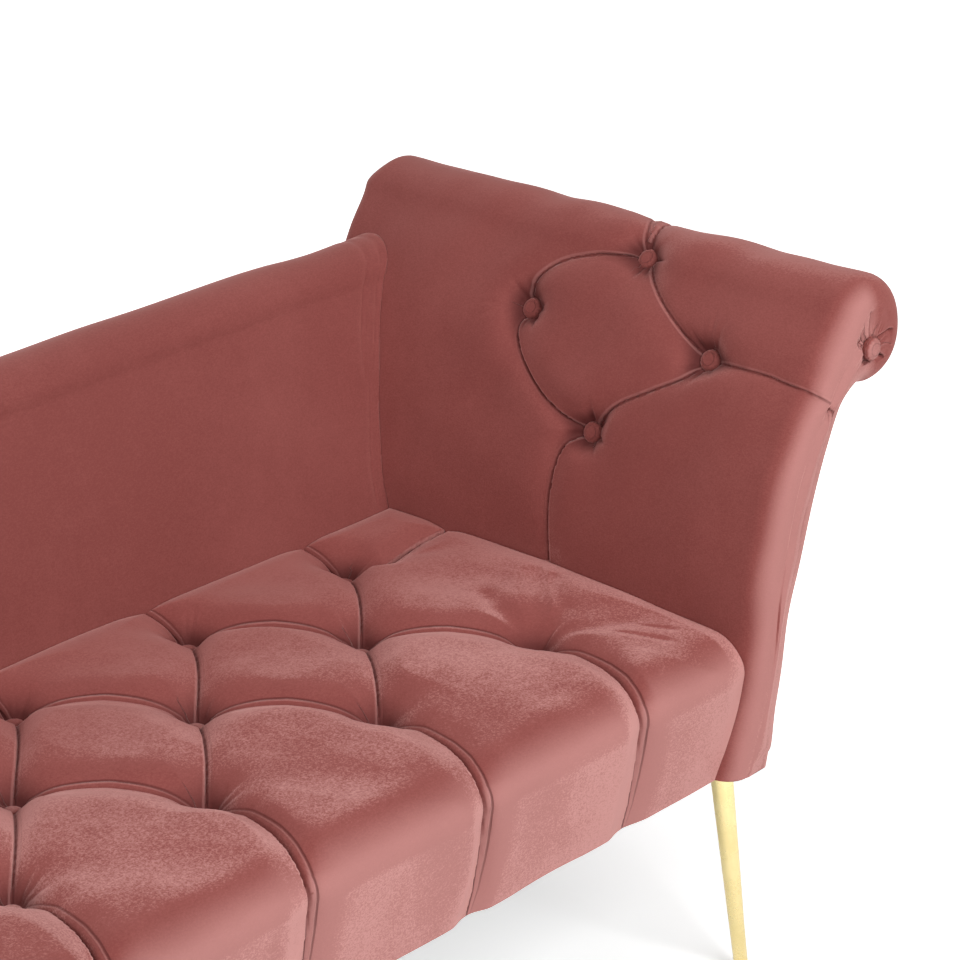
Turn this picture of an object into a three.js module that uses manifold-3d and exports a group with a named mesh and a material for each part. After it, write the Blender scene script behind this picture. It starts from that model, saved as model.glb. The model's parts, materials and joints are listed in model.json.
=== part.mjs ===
// Fainting couch: a deep-buttoned seat, one scrolled arm at the head end, a swept back and four splayed metal legs.
// Millimetres, +Z up. X runs from the foot end to the head end and Y from the front to the back.
// The origin is on the floor, midway along the length and the depth.
import * as THREE from "three";
import { mergeVertices } from "three/addons/utils/BufferGeometryUtils.js";
import Module from "manifold-3d";

const wasm = await Module();
wasm.setup();

// Driving sizes of the whole couch
const seatLength = 1506;
const armReach = 242;
const armRise = 358;
const platformDepth = 656;
const backLean = 64;
const undersideHeight = 270;

// Clearance between pieces that touch, and how far a cut runs past what it cuts
const fitGap = 0.3;
const cutOverrun = 12;

// Timber base
const dustThickness = 1.2;
const railHeight = 60;
const railThickness = 22;
const cornerPost = 60;
const braceHeight = 48;
const braceColumns = [1.25, 3.75];
const deckThickness = 12;
const armCoreReach = 36;

// Seat upholstery
const foamThickness = 40;
const foamInset = 40;
const foamHeadInset = 60;
const foamRearInset = 30;
const softLayer = 52;
const seatCrown = 16;
const seatDome = 4;
const seatEdgeRadius = 55;
const seatEndRadius = 48;
const seatSetback = 8;
const frontRake = 12;
const frontPadding = 22;
const footPadding = 20;
const rearPadding = 16;

// Buttoning of the seat
const columnPitchShare = 0.156;
const rowPitchShare = 0.2643;
const firstColumnShare = 0.0956;
const frontRowShare = 0.3457;
const rowColumns = 6;
const pleatSteps = 3;
const seatButtonDepth = 37;
const seatCreaseDepth = 14;
const buttonHollow = 82;
const creaseHollowShare = 0.98;
const seamHollow = 58;
const seamShare = 0.88;
const pitPower = 2.2;
const creasePower = 1.8;
const armSeamShare = 0.36;
const seamRun = 7;
const gatherShare = 0.35;

// Covered buttons and their twine
const buttonRadius = 12;
const buttonThickness = 8;
const buttonSink = 3;
const buttonEdgeShare = 0.35;
const buttonDomeShare = 0.68;
const twineRadius = 1.2;
const knotRadius = 6;
const knotThickness = 2;
const nailDepth = 12;
const buttonSides = 6;

// Arm. Levels are shares of the rise over the seat, or under it of the drop to the underside.
// Faces are shares of the reach past the seat.
const scrollRadius = 60;
const armPadThickness = 30;
const scrollPadThickness = 16;
const outerPadThickness = 5.7;
const armEndRadius = 20;
const innerLevelShares = [-1, -0.48, -0.05, 0.15, 0.3, 0.447, 0.545, 0.643, 0.74, 0.82];
const innerFaceShares = [-0.174, -0.06, 0, 0.012, 0.052, 0.118, 0.177, 0.25, 0.34, 0.42];
const outerLevelShares = [-1, -0.96, -0.88, -0.57, 0, 0.134, 0.349, 0.52, 0.62, 0.651];
const outerFaceShares = [0.13, 0.165, 0.19, 0.21, 0.27, 0.314, 0.405, 0.512, 0.579, 0.628];
const scrollStartAngle = 155;
const scrollStepAngle = 20;
const scrollSteps = 13;

// Buttoning of the arm
const armDiamondShare = 0.404;
const armDiamondHalfShare = 0.1814;
const armButtonLevels = [5, 8, 11];
const armButtonDepth = 22;
const armCreaseDepth = 8;
const armButtonHollow = 74;
const armCreaseHollow = 46;
const armStationRange = [-5, 8];
const rollCreaseShare = 1.5;

// Rosette on the front of the scroll
const rosetteShares = [-0.15, -0.22];
const rosetteDepth = 8;
const pleatCount = 7;
const pleatSide = 4;
const pleatStartShare = 0.22;
const pleatEndShare = 0.72;
const pleatStartAngle = -70;
const pleatStepAngle = 40;

// Timber frame of the arm
const armPanelThickness = 18;
const scrollRailRadius = 20;
const scrollRailSides = 8;
const armRailHeight = 30;
const armRailClearance = 3;

// Back
const backThickness = 115;
const backInnerLean = 107;
const backRiseShare = 0.81;
const backLevelDrop = 16;
const backNoseRise = 70;
const backLevelLength = 640;
const backLength = 1190;
const backNoseRadius = 40;
const backCrown = 7;
const backPadThickness = 44;
const backTopPadding = 36;
const backArmOverlap = 20;
const backSweepSteps = 9;
const topTurnSteps = 6;

// Timber frame of the back
const nosePadding = 14;
const headPostInset = 30;
const postWidth = 50;
const lowRailHeight = 32;
const topRailHeight = 50;
const railSetback = 2;

// Legs and their fittings
const legTopRadius = 12;
const legFootRadius = 8;
const legWall = 1.5;
const legTopPlate = 5;
const legSplay = 0.09;
const legInset = 27;
const glideThickness = 4;
const glidePlug = 9;
const glideBevel = 1;
const studRadius = 4;
const studShort = 4;
const tnutFlangeRadius = 11;
const tnutFlange = 1.6;
const tnutBarrelRadius = 5.6;
const tnutBarrel = 14;
const roundSides = 14;

// Shares of a quarter turn used for rounded edges, and of a straight face
const turnShares = [0, 0.5, 1];
const edgeShares = [1 / 3, 2 / 3];
const halfShare = 0.5;
const miterShare = 0.6;
const mergeDistance = 1e-3;
const speckVolume = 1;

// Heights worked out from the floor up
const railFloor = undersideHeight + dustThickness + fitGap;
const railTop = railFloor + railHeight;
const deckFloor = railTop + fitGap;
const deckTop = deckFloor + deckThickness;
const foamFloor = deckTop + fitGap;
const foamTop = foamFloor + foamThickness;
const crownHeight = foamTop + fitGap + softLayer;
const seatHeight = crownHeight - seatCrown;

// Places worked out along the length and the depth
const headX = (seatLength + armReach) / 2;
const footX = -headX;
const armX = headX - armReach;
const rearReach = platformDepth + backLean * (1 - armEndRadius / armRise);
const frontY = -rearReach / 2;
const baseRearY = frontY + platformDepth;
const seatFrontY = frontY + seatSetback;
const backY = baseRearY - backThickness;
const backFootX = armX - backLength;
const coreFootX = footX + footPadding;
const coreHeadX = armX + armCoreReach;
const coreFrontY = seatFrontY + frontPadding;
const coreRearY = baseRearY - rearPadding;
const seatDepth = platformDepth - backThickness;
const rowPitch = seatDepth * rowPitchShare;
const columnPitch = seatLength * columnPitchShare;
const firstColumnInset = seatLength * firstColumnShare;
const creaseHollow = (rowPitch / pleatSteps) * creaseHollowShare;
const rowY = [0, 1, 2].map((row) => frontY + seatDepth * frontRowShare + row * rowPitch);
const columnX = (column) => armX - firstColumnInset - column * columnPitch;
const armDiamondCentre = platformDepth * armDiamondShare;
const armDiamondHalf = platformDepth * armDiamondHalfShare;
const backRise = armRise * backRiseShare;
const scrollX = headX - scrollRadius;
const scrollZ = seatHeight + armRise - scrollRadius;

const group = new THREE.Group();

// Materials
function material(name, color, roughness, metalness) {
  return new THREE.MeshStandardMaterial({ name, color, roughness, metalness });
}
const velvet = material("velvet", 0x9a5453, 0.8, 0);
const brass = material("brass", 0xd8bd62, 0.28, 0.9);
const timber = material("timber", 0xb98f5d, 0.75, 0);
const foam = material("foam", 0xe8dcae, 0.95, 0);
const steel = material("steel", 0x9a9da0, 0.4, 0.85);
const lining = material("lining", 0x1d1c1e, 0.95, 0);
const plastic = material("plastic", 0x1b1a18, 0.5, 0);

const radians = (degrees) => (degrees * Math.PI) / 180;
const blend = (a, b, share) => a + (b - a) * share;
const clamp = (share) => Math.min(1, Math.max(0, share));
const smooth = (share) => clamp(share) ** 2 * (3 - 2 * clamp(share));
const cusp = (distance, width, power) => Math.pow(Math.max(0, 1 - distance / width), power);

// Turns a geometry into a solid for cutting and joining, with its faces pointing out.
function solidOf(geometry) {
  const bare = geometry.clone();
  for (const name of Object.keys(bare.attributes)) {
    if (name !== "position") bare.deleteAttribute(name);
  }
  const merged = mergeVertices(bare, mergeDistance);
  const corners = merged.index.array;
  const faces = [];
  for (let i = 0; i < corners.length; i += 3) {
    const [a, b, c] = corners.slice(i, i + 3);
    if (a !== b && b !== c && c !== a) faces.push([a, b, c]);
  }
  const shapeOf = (triangles) =>
    new wasm.Manifold(
      new wasm.Mesh({
        numProp: 3,
        vertProperties: merged.attributes.position.array,
        triVerts: new Uint32Array(triangles.flat()),
      }),
    );
  const made = shapeOf(faces);
  return made.volume() < 0 ? shapeOf(faces.map(([a, b, c]) => [c, b, a])) : made;
}

// Turns a solid back into a geometry.
function geometryOf(solid) {
  const mesh = solid.getMesh();
  const points = new Float32Array(mesh.numVert * 3);
  for (let i = 0; i < mesh.numVert; i++) {
    points.set(mesh.vertProperties.subarray(i * mesh.numProp, i * mesh.numProp + 3), i * 3);
  }
  return new THREE.BufferGeometry()
    .setAttribute("position", new THREE.BufferAttribute(points, 3))
    .setIndex(new THREE.BufferAttribute(mesh.triVerts, 1));
}

// Adds a named piece to the couch, without the specks that a cut can leave.
function add(name, solid, finish) {
  const bodies = solid.decompose().filter((body) => body.volume() > speckVolume);
  const geometry = geometryOf(wasm.Manifold.compose(bodies));
  geometry.computeVertexNormals();
  const mesh = new THREE.Mesh(geometry, finish);
  mesh.name = name;
  group.add(mesh);
}

// A block between two corners, grown by a margin.
function block([x0, y0, z0], [x1, y1, z1], grow = 0) {
  const size = [x1 - x0 + 2 * grow, y1 - y0 + 2 * grow, z1 - z0 + 2 * grow];
  return solidOf(new THREE.BoxGeometry(...size).translate((x0 + x1) / 2, (y0 + y1) / 2, (z0 + z1) / 2));
}

// An upright round bar between two heights.
function bar(x, y, z0, z1, radius, sides) {
  const round = new THREE.CylinderGeometry(radius, radius, z1 - z0, sides);
  return solidOf(round.rotateX(Math.PI / 2).translate(x, y, (z0 + z1) / 2));
}

// A turned piece about the Z axis, from points of radius and height.
function turned(points, sides) {
  const profile = points.map(([radius, z]) => new THREE.Vector2(radius, z));
  return new THREE.LatheGeometry(profile, sides).rotateX(Math.PI / 2);
}

// A solid through rings of equal counts. A fourth number in a point tells how deep it is sunk, and folds run deep.
function loft(rings) {
  const count = rings[0].length;
  const points = rings.flat();
  const faces = [];
  const quad = (a, b, c, d) => {
    const sunk = (i, j) => points[i][3] + points[j][3];
    const halves = sunk(a, c) >= sunk(b, d) ? [a, b, c, a, c, d] : [a, b, d, b, c, d];
    faces.push(...halves);
  };
  const last = (rings.length - 1) * count;
  for (let ring = 0; ring < last; ring += count) {
    for (let i = 0; i < count; i++) {
      const j = (i + 1) % count;
      quad(ring + i, ring + j, ring + count + j, ring + count + i);
    }
  }
  for (let i = 0, k = count - 1; i < k; i++, k--) {
    quad(i, k, k - 1, i + 1);
    quad(last + i, last + i + 1, last + k - 1, last + k);
  }
  return solidOf(
    new THREE.BufferGeometry()
      .setAttribute("position", new THREE.Float32BufferAttribute(points.flatMap((p) => p.slice(0, 3)), 3))
      .setIndex(faces),
  );
}

// The outward directions of a clockwise outline, one at each point.
function outwards(points) {
  const count = points.length;
  const unit = (a, b) => [a / Math.hypot(a, b), b / Math.hypot(a, b)];
  return points.map(([a, z], i) => {
    const [pa, pz] = points[(i + count - 1) % count];
    const [na, nz] = points[(i + 1) % count];
    const [b0, b1] = unit(pz - z, a - pa);
    const [c0, c1] = unit(z - nz, na - a);
    const scale = 2 / Math.max(miterShare, (b0 + c0) ** 2 + (b1 + c1) ** 2);
    return [(b0 + c0) * scale, (b1 + c1) * scale];
  });
}

// Moves each point of a clockwise outline outward by its own margin.
function offset(points, marginAt) {
  const out = outwards(points);
  return points.map(([a, z], i) => [a + out[i][0] * marginAt(i), z + out[i][1] * marginAt(i)]);
}

// Distance along an outline to each of its points, counted from one of them.
function runsAlong(points, start, value) {
  const runs = [0];
  for (let i = 1; i < points.length; i++) {
    runs.push(runs[i - 1] + Math.hypot(points[i][0] - points[i - 1][0], points[i][1] - points[i - 1][1]));
  }
  return runs.map((run) => run - runs[start] + value);
}

// Distance from a point to the segment between a and b.
function toSegment([px, py], [[ax, ay], [bx, by]]) {
  const [dx, dy] = [bx - ax, by - ay];
  const share = clamp(((px - ax) * dx + (py - ay) * dy) / (dx * dx + dy * dy));
  return Math.hypot(px - ax - dx * share, py - ay - dy * share);
}

// Value at a level between the listed levels.
function between(levels, values, level) {
  const next = Math.max(1, levels.findIndex((known) => known >= level));
  const share = clamp((level - levels[next - 1]) / (levels[next] - levels[next - 1]));
  return blend(values[next - 1], values[next], share);
}

// A padded form: an outline carried through stations, drawn in by the end turns and by the buttoning.
function paddedForm({ stations, outlineAt, sinkAt, placeAt }, grow = 0) {
  const floor = undersideHeight - grow;
  const rings = stations.map((station, k) => {
    const outline = outlineAt(station);
    const sinks = outline.map((_, i) => sinkAt(i, station));
    const push = k === 0 ? -grow : k === stations.length - 1 ? grow : 0;
    return offset(outline, (i) => grow - station.inset - sinks[i]).map(([a, z], i) => {
      const level = outline[i][1] < undersideHeight + mergeDistance ? floor : z;
      return [...placeAt(a, level, station, push), sinks[i]];
    });
  });
  return loft(rings);
}

// Stations of a rounded end, from its face inward.
function endTurn(start, direction, radius) {
  return turnShares.map((share) => {
    const angle = radians(90 * share);
    return { along: start + direction * radius * (1 - Math.cos(angle)), inset: radius * (1 - Math.sin(angle)) };
  });
}

// How far a cover is drawn in at a point, by its buttons and creases.
function drawnIn(point, buttons, creases, [pitWidth, pitDepth], [foldWidth, foldDepth]) {
  const button = Math.min(...buttons.map(([a, b]) => Math.hypot(point[0] - a, point[1] - b)));
  const crease = Math.min(...creases.map((ends) => toSegment(point, ends)));
  const pit = cusp(button, pitWidth, pitPower);
  return pitDepth * pit + foldDepth * cusp(crease, foldWidth, creasePower) * (1 - pit);
}

// Covered buttons
const buttonProfile = (drop, knot) => [
  [0, buttonThickness],
  [buttonRadius * buttonDomeShare, buttonThickness * buttonDomeShare],
  [buttonRadius, buttonThickness * buttonEdgeShare],
  [buttonRadius, 0],
  [twineRadius, 0],
  [twineRadius, -drop],
  ...(knot ? [[knotRadius, -drop]] : []),
  ...(knot ? [[knotRadius, -drop - knotThickness]] : []),
  [0, knot ? -drop - knotThickness : -drop],
];

// The button with its twine, and the hollow that both need, set at a place and facing a direction.
function coveredButton(name, place, direction, drop, knot = true) {
  const turn = new THREE.Quaternion().setFromUnitVectors(new THREE.Vector3(0, 0, 1), direction);
  const move = new THREE.Matrix4().compose(place, turn, new THREE.Vector3(1, 1, 1));
  add(name, solidOf(turned(buttonProfile(drop, knot), buttonSides).applyMatrix4(move)), velvet);
  const hollow = [
    [0, buttonThickness + cutOverrun],
    [buttonRadius + fitGap, buttonThickness + cutOverrun],
    [buttonRadius + fitGap, -fitGap],
    [twineRadius + fitGap, -fitGap],
    [twineRadius + fitGap, knot ? fitGap - drop : -fitGap - drop],
    ...(knot ? [[knotRadius + fitGap, fitGap - drop]] : []),
    ...(knot ? [[knotRadius + fitGap, -fitGap - drop - knotThickness]] : []),
    [0, knot ? -fitGap - drop - knotThickness : -fitGap - drop],
  ];
  return solidOf(turned(hollow, buttonSides).applyMatrix4(move));
}

// Seat buttons, on the cover laid flat. The middle row sits half a pitch along.
const seatRows = rowY.map((y, row) => {
  const shift = row === 1 ? halfShare : 0;
  const count = row === 1 ? rowColumns - 1 : rowColumns;
  return Array.from({ length: count }, (_, column) => [columnX(column + shift), y]);
});
const coverDrop = crownHeight - undersideHeight;

// Seat creases: the diamonds, the channels over the edges and the gathers beside the arm.
function seatCreases() {
  const [front, middle, rear] = seatRows;
  const creases = [];
  middle.forEach((button, column) => {
    for (const row of [front, rear]) creases.push([button, row[column]], [button, row[column + 1]]);
  });
  for (const [x, y] of front) creases.push([[x, y], [x, frontY - coverDrop]]);
  for (const [x, y] of rear) creases.push([[x, y], [x, baseRearY + coverDrop]]);
  for (const row of [front, rear]) creases.push([row[rowColumns - 1], [footX, row[0][1]]]);
  creases.push([front[0], [armX, blend(rowY[0], rowY[1], gatherShare)]]);
  creases.push([rear[0], [armX, blend(rowY[2], rowY[1], gatherShare)]]);
  return creases;
}

// The seat's outline in y and z, from the foot of the front face over the top to the foot of the rear face.
function seatOutline() {
  const shoulder = crownHeight - seatEdgeRadius;
  const levels = [undersideHeight, shoulder];
  const rake = (z) => (frontRake * (shoulder - z)) / (shoulder - undersideHeight);
  const turn = edgeShares.map((share) => {
    const angle = radians(90 * share);
    return [seatEdgeRadius * (1 - Math.cos(angle)), shoulder + seatEdgeRadius * Math.sin(angle)];
  });
  const [topFront, topRear] = [seatFrontY + seatEdgeRadius, baseRearY - seatEdgeRadius];
  const across = [topFront, blend(topFront, rowY[0], halfShare)];
  for (let step = 0; step <= 2 * pleatSteps; step++) across.push(rowY[0] + (step * rowPitch) / pleatSteps);
  across.push(backY + seamRun, topRear);
  return [
    ...levels.map((z) => [seatFrontY + rake(z), z]),
    ...turn.map(([inset, z]) => [seatFrontY + inset, z]),
    ...across.map((y) => [y, crownHeight - seatDome * ((y - rowY[1]) / (topRear - rowY[1])) ** 2]),
    [baseRearY - turn[0][0], turn[0][1]],
    ...levels.map((z) => [baseRearY, z]).reverse(),
  ];
}

// The seat's padded form, with its buttoning.
function seatForm() {
  const outline = seatOutline();
  const firstRow = outline.findIndex(([y]) => y === rowY[0]);
  const runs = runsAlong(outline, firstRow, rowY[0]);
  const buttons = seatRows.flat();
  const creases = seatCreases();
  const lastColumn = columnX(rowColumns - 1);
  const stations = endTurn(footX, 1, seatEndRadius);
  for (let step = 0; step <= 2 * pleatSteps * (rowColumns - 1); step++) {
    stations.push({ along: lastColumn + (step * columnPitch) / 2 / pleatSteps, inset: 0 });
  }
  const corner = [armX + seamRun, backY + seamRun];
  stations.push({ along: armX - firstColumnInset * armSeamShare, inset: 0 }, { along: corner[0], inset: 0 });
  const seams = [[[corner[0], frontY - coverDrop], corner], [corner, [backFootX, corner[1]]]];
  const sinkAt = (i, { along }) => {
    const seam = Math.min(...seams.map((ends) => toSegment([along, runs[i]], ends)));
    const edge = seatCrown * seamShare * cusp(seam, seamHollow, creasePower);
    const pits = [buttonHollow, seatButtonDepth];
    return Math.max(edge, drawnIn([along, runs[i]], buttons, creases, pits, [creaseHollow, seatCreaseDepth]));
  };
  const placeAt = (y, z, { along }, push) => [along + push, y, z];
  return paddedForm({ stations, outlineAt: () => outline, sinkAt, placeAt });
}

// Lean of the rear face of the couch and of the front face of the back
const leanShare = (z) => Math.max(0, z - seatHeight) / armRise;
const rearAt = (z) => baseRearY + backLean * leanShare(z);
const backInnerAt = (z) => backY + backInnerLean * leanShare(z);

// Faces of the arm at a height
const levelScale = (share) => (share < 0 ? seatHeight - undersideHeight : armRise);
const armLevel = (share) => seatHeight + share * levelScale(share);
const armFace = (share) => armX + armReach * share;
const levelShareAt = (z) => (z - seatHeight) / levelScale(z - seatHeight);
const innerFaceAt = (z) => armFace(between(innerLevelShares, innerFaceShares, levelShareAt(z)));

// The arm's outline in x and z, from the inner foot over the scroll to the outer foot.
const armOutline = [
  ...innerLevelShares.map((level, i) => [armFace(innerFaceShares[i]), armLevel(level)]),
  ...Array.from({ length: scrollSteps + 1 }, (_, i) => {
    const angle = radians(scrollStartAngle - i * scrollStepAngle);
    return [scrollX + scrollRadius * Math.cos(angle), scrollZ + scrollRadius * Math.sin(angle)];
  }),
  ...outerLevelShares.map((level, i) => [armFace(outerFaceShares[i]), armLevel(level)]).reverse(),
];
const armRuns = runsAlong(armOutline, innerFaceShares.indexOf(0), 0);
const armDepthAt = (along, z) => frontY + (along / platformDepth) * (rearAt(z) - frontY);
const armPlace = (x, z, { along }, push) => [x, armDepthAt(along, z) + push, z];

// A piece of the arm with one outline all along, from one depth to another.
function armPiece(outline, from, to) {
  const rings = [from, to].map((along) => outline.map(([x, z]) => [x, armDepthAt(along, z), z, 0]));
  return loft(rings);
}

// Arm buttons, by their point of the outline and their distance from the front
const [lowLevel, middleLevel, highLevel] = armButtonLevels;
const armButtons = [
  [lowLevel, armDiamondCentre],
  [middleLevel, armDiamondCentre - armDiamondHalf],
  [middleLevel, armDiamondCentre + armDiamondHalf],
  [highLevel, armDiamondCentre],
];

// The arm's padded form, with its buttoning.
function armForm(grow) {
  const buttons = armButtons.map(([level, along]) => [armRuns[level], along]);
  const [low, front, rear, high] = buttons;
  const creases = [
    [low, front],
    [low, rear],
    [high, front],
    [high, rear],
    [low, [0, low[1]]],
    [high, [high[0] * rollCreaseShare, high[1]]],
    [front, [front[0], 0]],
  ];
  const stations = endTurn(0, 1, armEndRadius);
  for (let step = armStationRange[0]; step <= armStationRange[1]; step++) {
    stations.push({ along: armDiamondCentre + (step * armDiamondHalf) / pleatSteps, inset: 0 });
  }
  stations.push(...endTurn(platformDepth, -1, armEndRadius).reverse());
  const pits = [armButtonHollow, armButtonDepth];
  const folds = [armCreaseHollow, armCreaseDepth];
  const sinkAt = (i, { along, inset }) => {
    return inset > 0 ? 0 : drawnIn([armRuns[i], along], buttons, creases, pits, folds);
  };
  return paddedForm({ stations, outlineAt: () => armOutline, sinkAt, placeAt: armPlace }, grow);
}

// The arm's hollow for its timber frame, drawn in from the outline by the padding of each face.
function armCore(shrink, from, to) {
  const scrollEnd = innerLevelShares.length + scrollSteps;
  const padding = (i) => {
    if (i <= highLevel + 1) return armPadThickness;
    return i <= scrollEnd ? scrollPadThickness : outerPadThickness;
  };
  return armPiece(offset(armOutline, (i) => -padding(i) - shrink), from, to);
}

// Height of the back's top along the couch: nearly level beside the arm, then swept down to the foot.
function backTopAt(x) {
  const fromArm = armX - x;
  const level = seatHeight + backRise - backLevelDrop * clamp(fromArm / backLevelLength);
  const sweepLength = backLength - backNoseRadius - backLevelLength;
  return blend(level, seatHeight + backNoseRise, smooth((fromArm - backLevelLength) / sweepLength));
}

// The back's outline in y and z at a place along the couch.
function backOutline(x) {
  const top = backTopAt(x);
  const roll = (rearAt(top) - backInnerAt(top)) / 2;
  const turnZ = top - roll;
  const [inner, rear] = [backInnerAt(turnZ), rearAt(turnZ)];
  const middle = blend(seatHeight, turnZ, halfShare);
  const turn = Array.from({ length: topTurnSteps - 1 }, (_, i) => {
    const angle = Math.PI * ((i + 1) / topTurnSteps);
    return [(inner + rear) / 2 - ((rear - inner) / 2) * Math.cos(angle), turnZ + roll * Math.sin(angle)];
  });
  return [
    [backY, undersideHeight],
    [backY, seatHeight],
    [backInnerAt(middle) - backCrown, middle],
    [inner, turnZ],
    ...turn,
    [rear, turnZ],
    [rearAt(middle), middle],
    [baseRearY, seatHeight],
    [baseRearY, undersideHeight],
  ];
}

// The back's padded form. Its head end runs into the arm, to be cut to it.
function backForm(grow) {
  const stations = endTurn(backFootX, 1, backNoseRadius);
  for (let step = 1; step <= backSweepSteps; step++) {
    const along = blend(backFootX + backNoseRadius, armX - backLevelLength, step / backSweepSteps);
    stations.push({ along, inset: 0 });
  }
  const headStart = armFace(innerFaceShares[0]) - backArmOverlap;
  stations.push({ along: headStart, inset: 0 }, { along: armX, inset: 0, head: true });
  const placeAt = (y, z, { along, head }, push) => [head ? innerFaceAt(z) + backArmOverlap : along + push, y, z];
  return paddedForm({ stations, outlineAt: ({ along }) => backOutline(along), sinkAt: () => 0, placeAt }, grow);
}

// A board of the back's frame between two heights, leaning with the back, and its pocket in the padding.
function backBoard(name, [x0, x1], [z0, z1], setback, pockets) {
  const levels = z0 < seatHeight && z1 > seatHeight ? [z0, seatHeight, z1] : [z0, z1];
  const outline = [
    ...levels.map((z) => [backInnerAt(z) + backPadThickness + setback, z]),
    ...levels.map((z) => [rearAt(z) - rearPadding - setback, z]).reverse(),
  ];
  const shaped = (grow) => {
    const section = offset(outline, () => grow);
    return loft([x0 - grow, x1 + grow].map((x) => section.map(([y, z]) => [x, y, z, 0])));
  };
  add(name, shaped(0), timber);
  pockets.push(shaped(fitGap));
}

// The space that the timber base takes up inside the padding.
function baseCore(grow, top) {
  return block([coreFootX, coreFrontY, undersideHeight - cutOverrun], [coreHeadX, coreRearY, top], grow);
}

// Buttons first, so that their hollows can be cut from what they pass through
const seatHollows = [];
seatRows.forEach((row, r) => {
  row.forEach(([x, y], column) => {
    const base = crownHeight - seatButtonDepth - buttonSink;
    const place = new THREE.Vector3(x, y, base);
    const drop = base - deckFloor + 2 * fitGap;
    seatHollows.push(coveredButton(`seat_button_${r + 1}_${column + 1}`, place, new THREE.Vector3(0, 0, 1), drop));
  });
});
const armOut = outwards(armOutline);
const armHollows = armButtons.map(([level, along], i) => {
  const [outX, outZ] = armOut[level];
  const [x, z] = armOutline[level];
  const size = Math.hypot(outX, outZ);
  const depth = armButtonDepth + buttonSink;
  const place = new THREE.Vector3(x - outX * depth, armDepthAt(along, z), z - outZ * depth);
  const drop = armPadThickness - depth + 2 * fitGap;
  return coveredButton(`arm_button_${i + 1}`, place, new THREE.Vector3(outX / size, 0, outZ / size), drop);
});
const rosetteX = scrollX + scrollRadius * rosetteShares[0];
const rosetteZ = scrollZ + scrollRadius * rosetteShares[1];
const rosettePlace = new THREE.Vector3(rosetteX, frontY + rosetteDepth, rosetteZ);
const frontPanelY = armDepthAt(coreFrontY - frontY, rosetteZ);
const nailDrop = frontPanelY + nailDepth - rosettePlace.y;
const rosetteHollow = coveredButton("rosette_button", rosettePlace, new THREE.Vector3(0, -1, 0), nailDrop, false);

// Upholstery
const backPockets = [];
const lowRailTop = deckTop + fitGap + lowRailHeight;
const frameTop = backTopAt(armX - backLevelLength) - backTopPadding;
const footPostX = backFootX + backNoseRadius + nosePadding;
const midPostX = armX - backLevelLength;
const headPostX = armX - headPostInset - postWidth;
const lowRailEnds = [footPostX - railSetback, headPostX + postWidth + railSetback];
backBoard("back_rail_low", lowRailEnds, [deckTop + fitGap, lowRailTop], railSetback, backPockets);
const postFoot = lowRailTop + fitGap;
const footPostTop = backTopAt(footPostX) - backTopPadding;
backBoard("back_post_foot", [footPostX, footPostX + postWidth], [postFoot, footPostTop], 0, backPockets);
backBoard("back_post_middle", [midPostX, midPostX + postWidth], [postFoot, frameTop], 0, backPockets);
backBoard("back_post_head", [headPostX, headPostX + postWidth], [postFoot, frameTop], 0, backPockets);
const topRailEnds = [midPostX + postWidth + fitGap, headPostX - fitGap];
const topRailTop = frameTop - railSetback;
backBoard("back_rail_top", topRailEnds, [topRailTop - topRailHeight, topRailTop], railSetback, backPockets);

const foamCorners = [
  [coreFootX + foamInset, coreFrontY + foamInset, foamFloor],
  [armX - foamHeadInset, backY - foamRearInset, foamTop],
];
const seatFoam = block(...foamCorners);
const baseRoom = baseCore(fitGap, deckTop);
const armSolid = armForm(0);
const armRoom = armForm(fitGap);
const backSolid = backForm(0);
const backRoom = backForm(fitGap);
const behindSeat = block(
  [backFootX + backNoseRadius, backY + backPadThickness, undersideHeight - cutOverrun],
  [headX, rearAt(crownHeight), crownHeight + cutOverrun],
);
const seatRooms = [armRoom, backRoom, behindSeat, baseRoom, block(...foamCorners, fitGap)];
const cutAll = (solid, cuts) => cuts.reduce((left, cut) => left.subtract(cut), solid);
add("seat_pad", cutAll(seatForm(), [...seatRooms, ...seatHollows]), velvet);
add("seat_foam", cutAll(seatFoam, seatHollows), foam);
add("back_pad", cutAll(backSolid, [armRoom, baseRoom, ...backPockets]), velvet);

const armFrom = coreFrontY - frontY;
const armTo = platformDepth - rearPadding;
const pleats = Array.from({ length: pleatCount }, (_, i) => {
  const [start, end] = [scrollRadius * pleatStartShare, scrollRadius * pleatEndShare];
  const groove = new THREE.BoxGeometry(end - start, pleatSide, pleatSide).rotateX(Math.PI / 4);
  groove.translate((start + end) / 2, 0, 0).rotateY(-radians(pleatStartAngle + i * pleatStepAngle));
  return solidOf(groove.translate(rosetteX, frontY, rosetteZ));
});
const armCavity = armCore(0, armFrom, armTo).subtract(baseCore(0, deckTop));
add("arm_pad", cutAll(armSolid, [armCavity, baseRoom, ...armHollows, rosetteHollow, ...pleats]), velvet);

// Timber frame of the arm
const panelEnd = armFrom + armPanelThickness;
const rearPanelStart = armTo - armPanelThickness;
const belowPanels = block([footX, frontY, 0], [headX, rearAt(deckTop), deckTop + fitGap]);
const frontPanel = armCore(fitGap, armFrom + fitGap, panelEnd).subtract(belowPanels);
add("arm_panel_front", frontPanel.subtract(rosetteHollow), timber);
add("arm_panel_rear", armCore(fitGap, rearPanelStart, armTo - fitGap).subtract(belowPanels), timber);
const scrollBar = Array.from({ length: scrollRailSides }, (_, i) => {
  const angle = radians(180 - (i * 360) / scrollRailSides);
  return [scrollX + scrollRailRadius * Math.cos(angle), scrollZ + scrollRailRadius * Math.sin(angle)];
});
add("arm_rail_scroll", armPiece(scrollBar, panelEnd + fitGap, rearPanelStart - fitGap), timber);
const armRailLow = deckTop + fitGap;
const armRailX = [innerFaceAt(armRailLow + armRailHeight) + armPadThickness + armRailClearance, coreHeadX];
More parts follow.
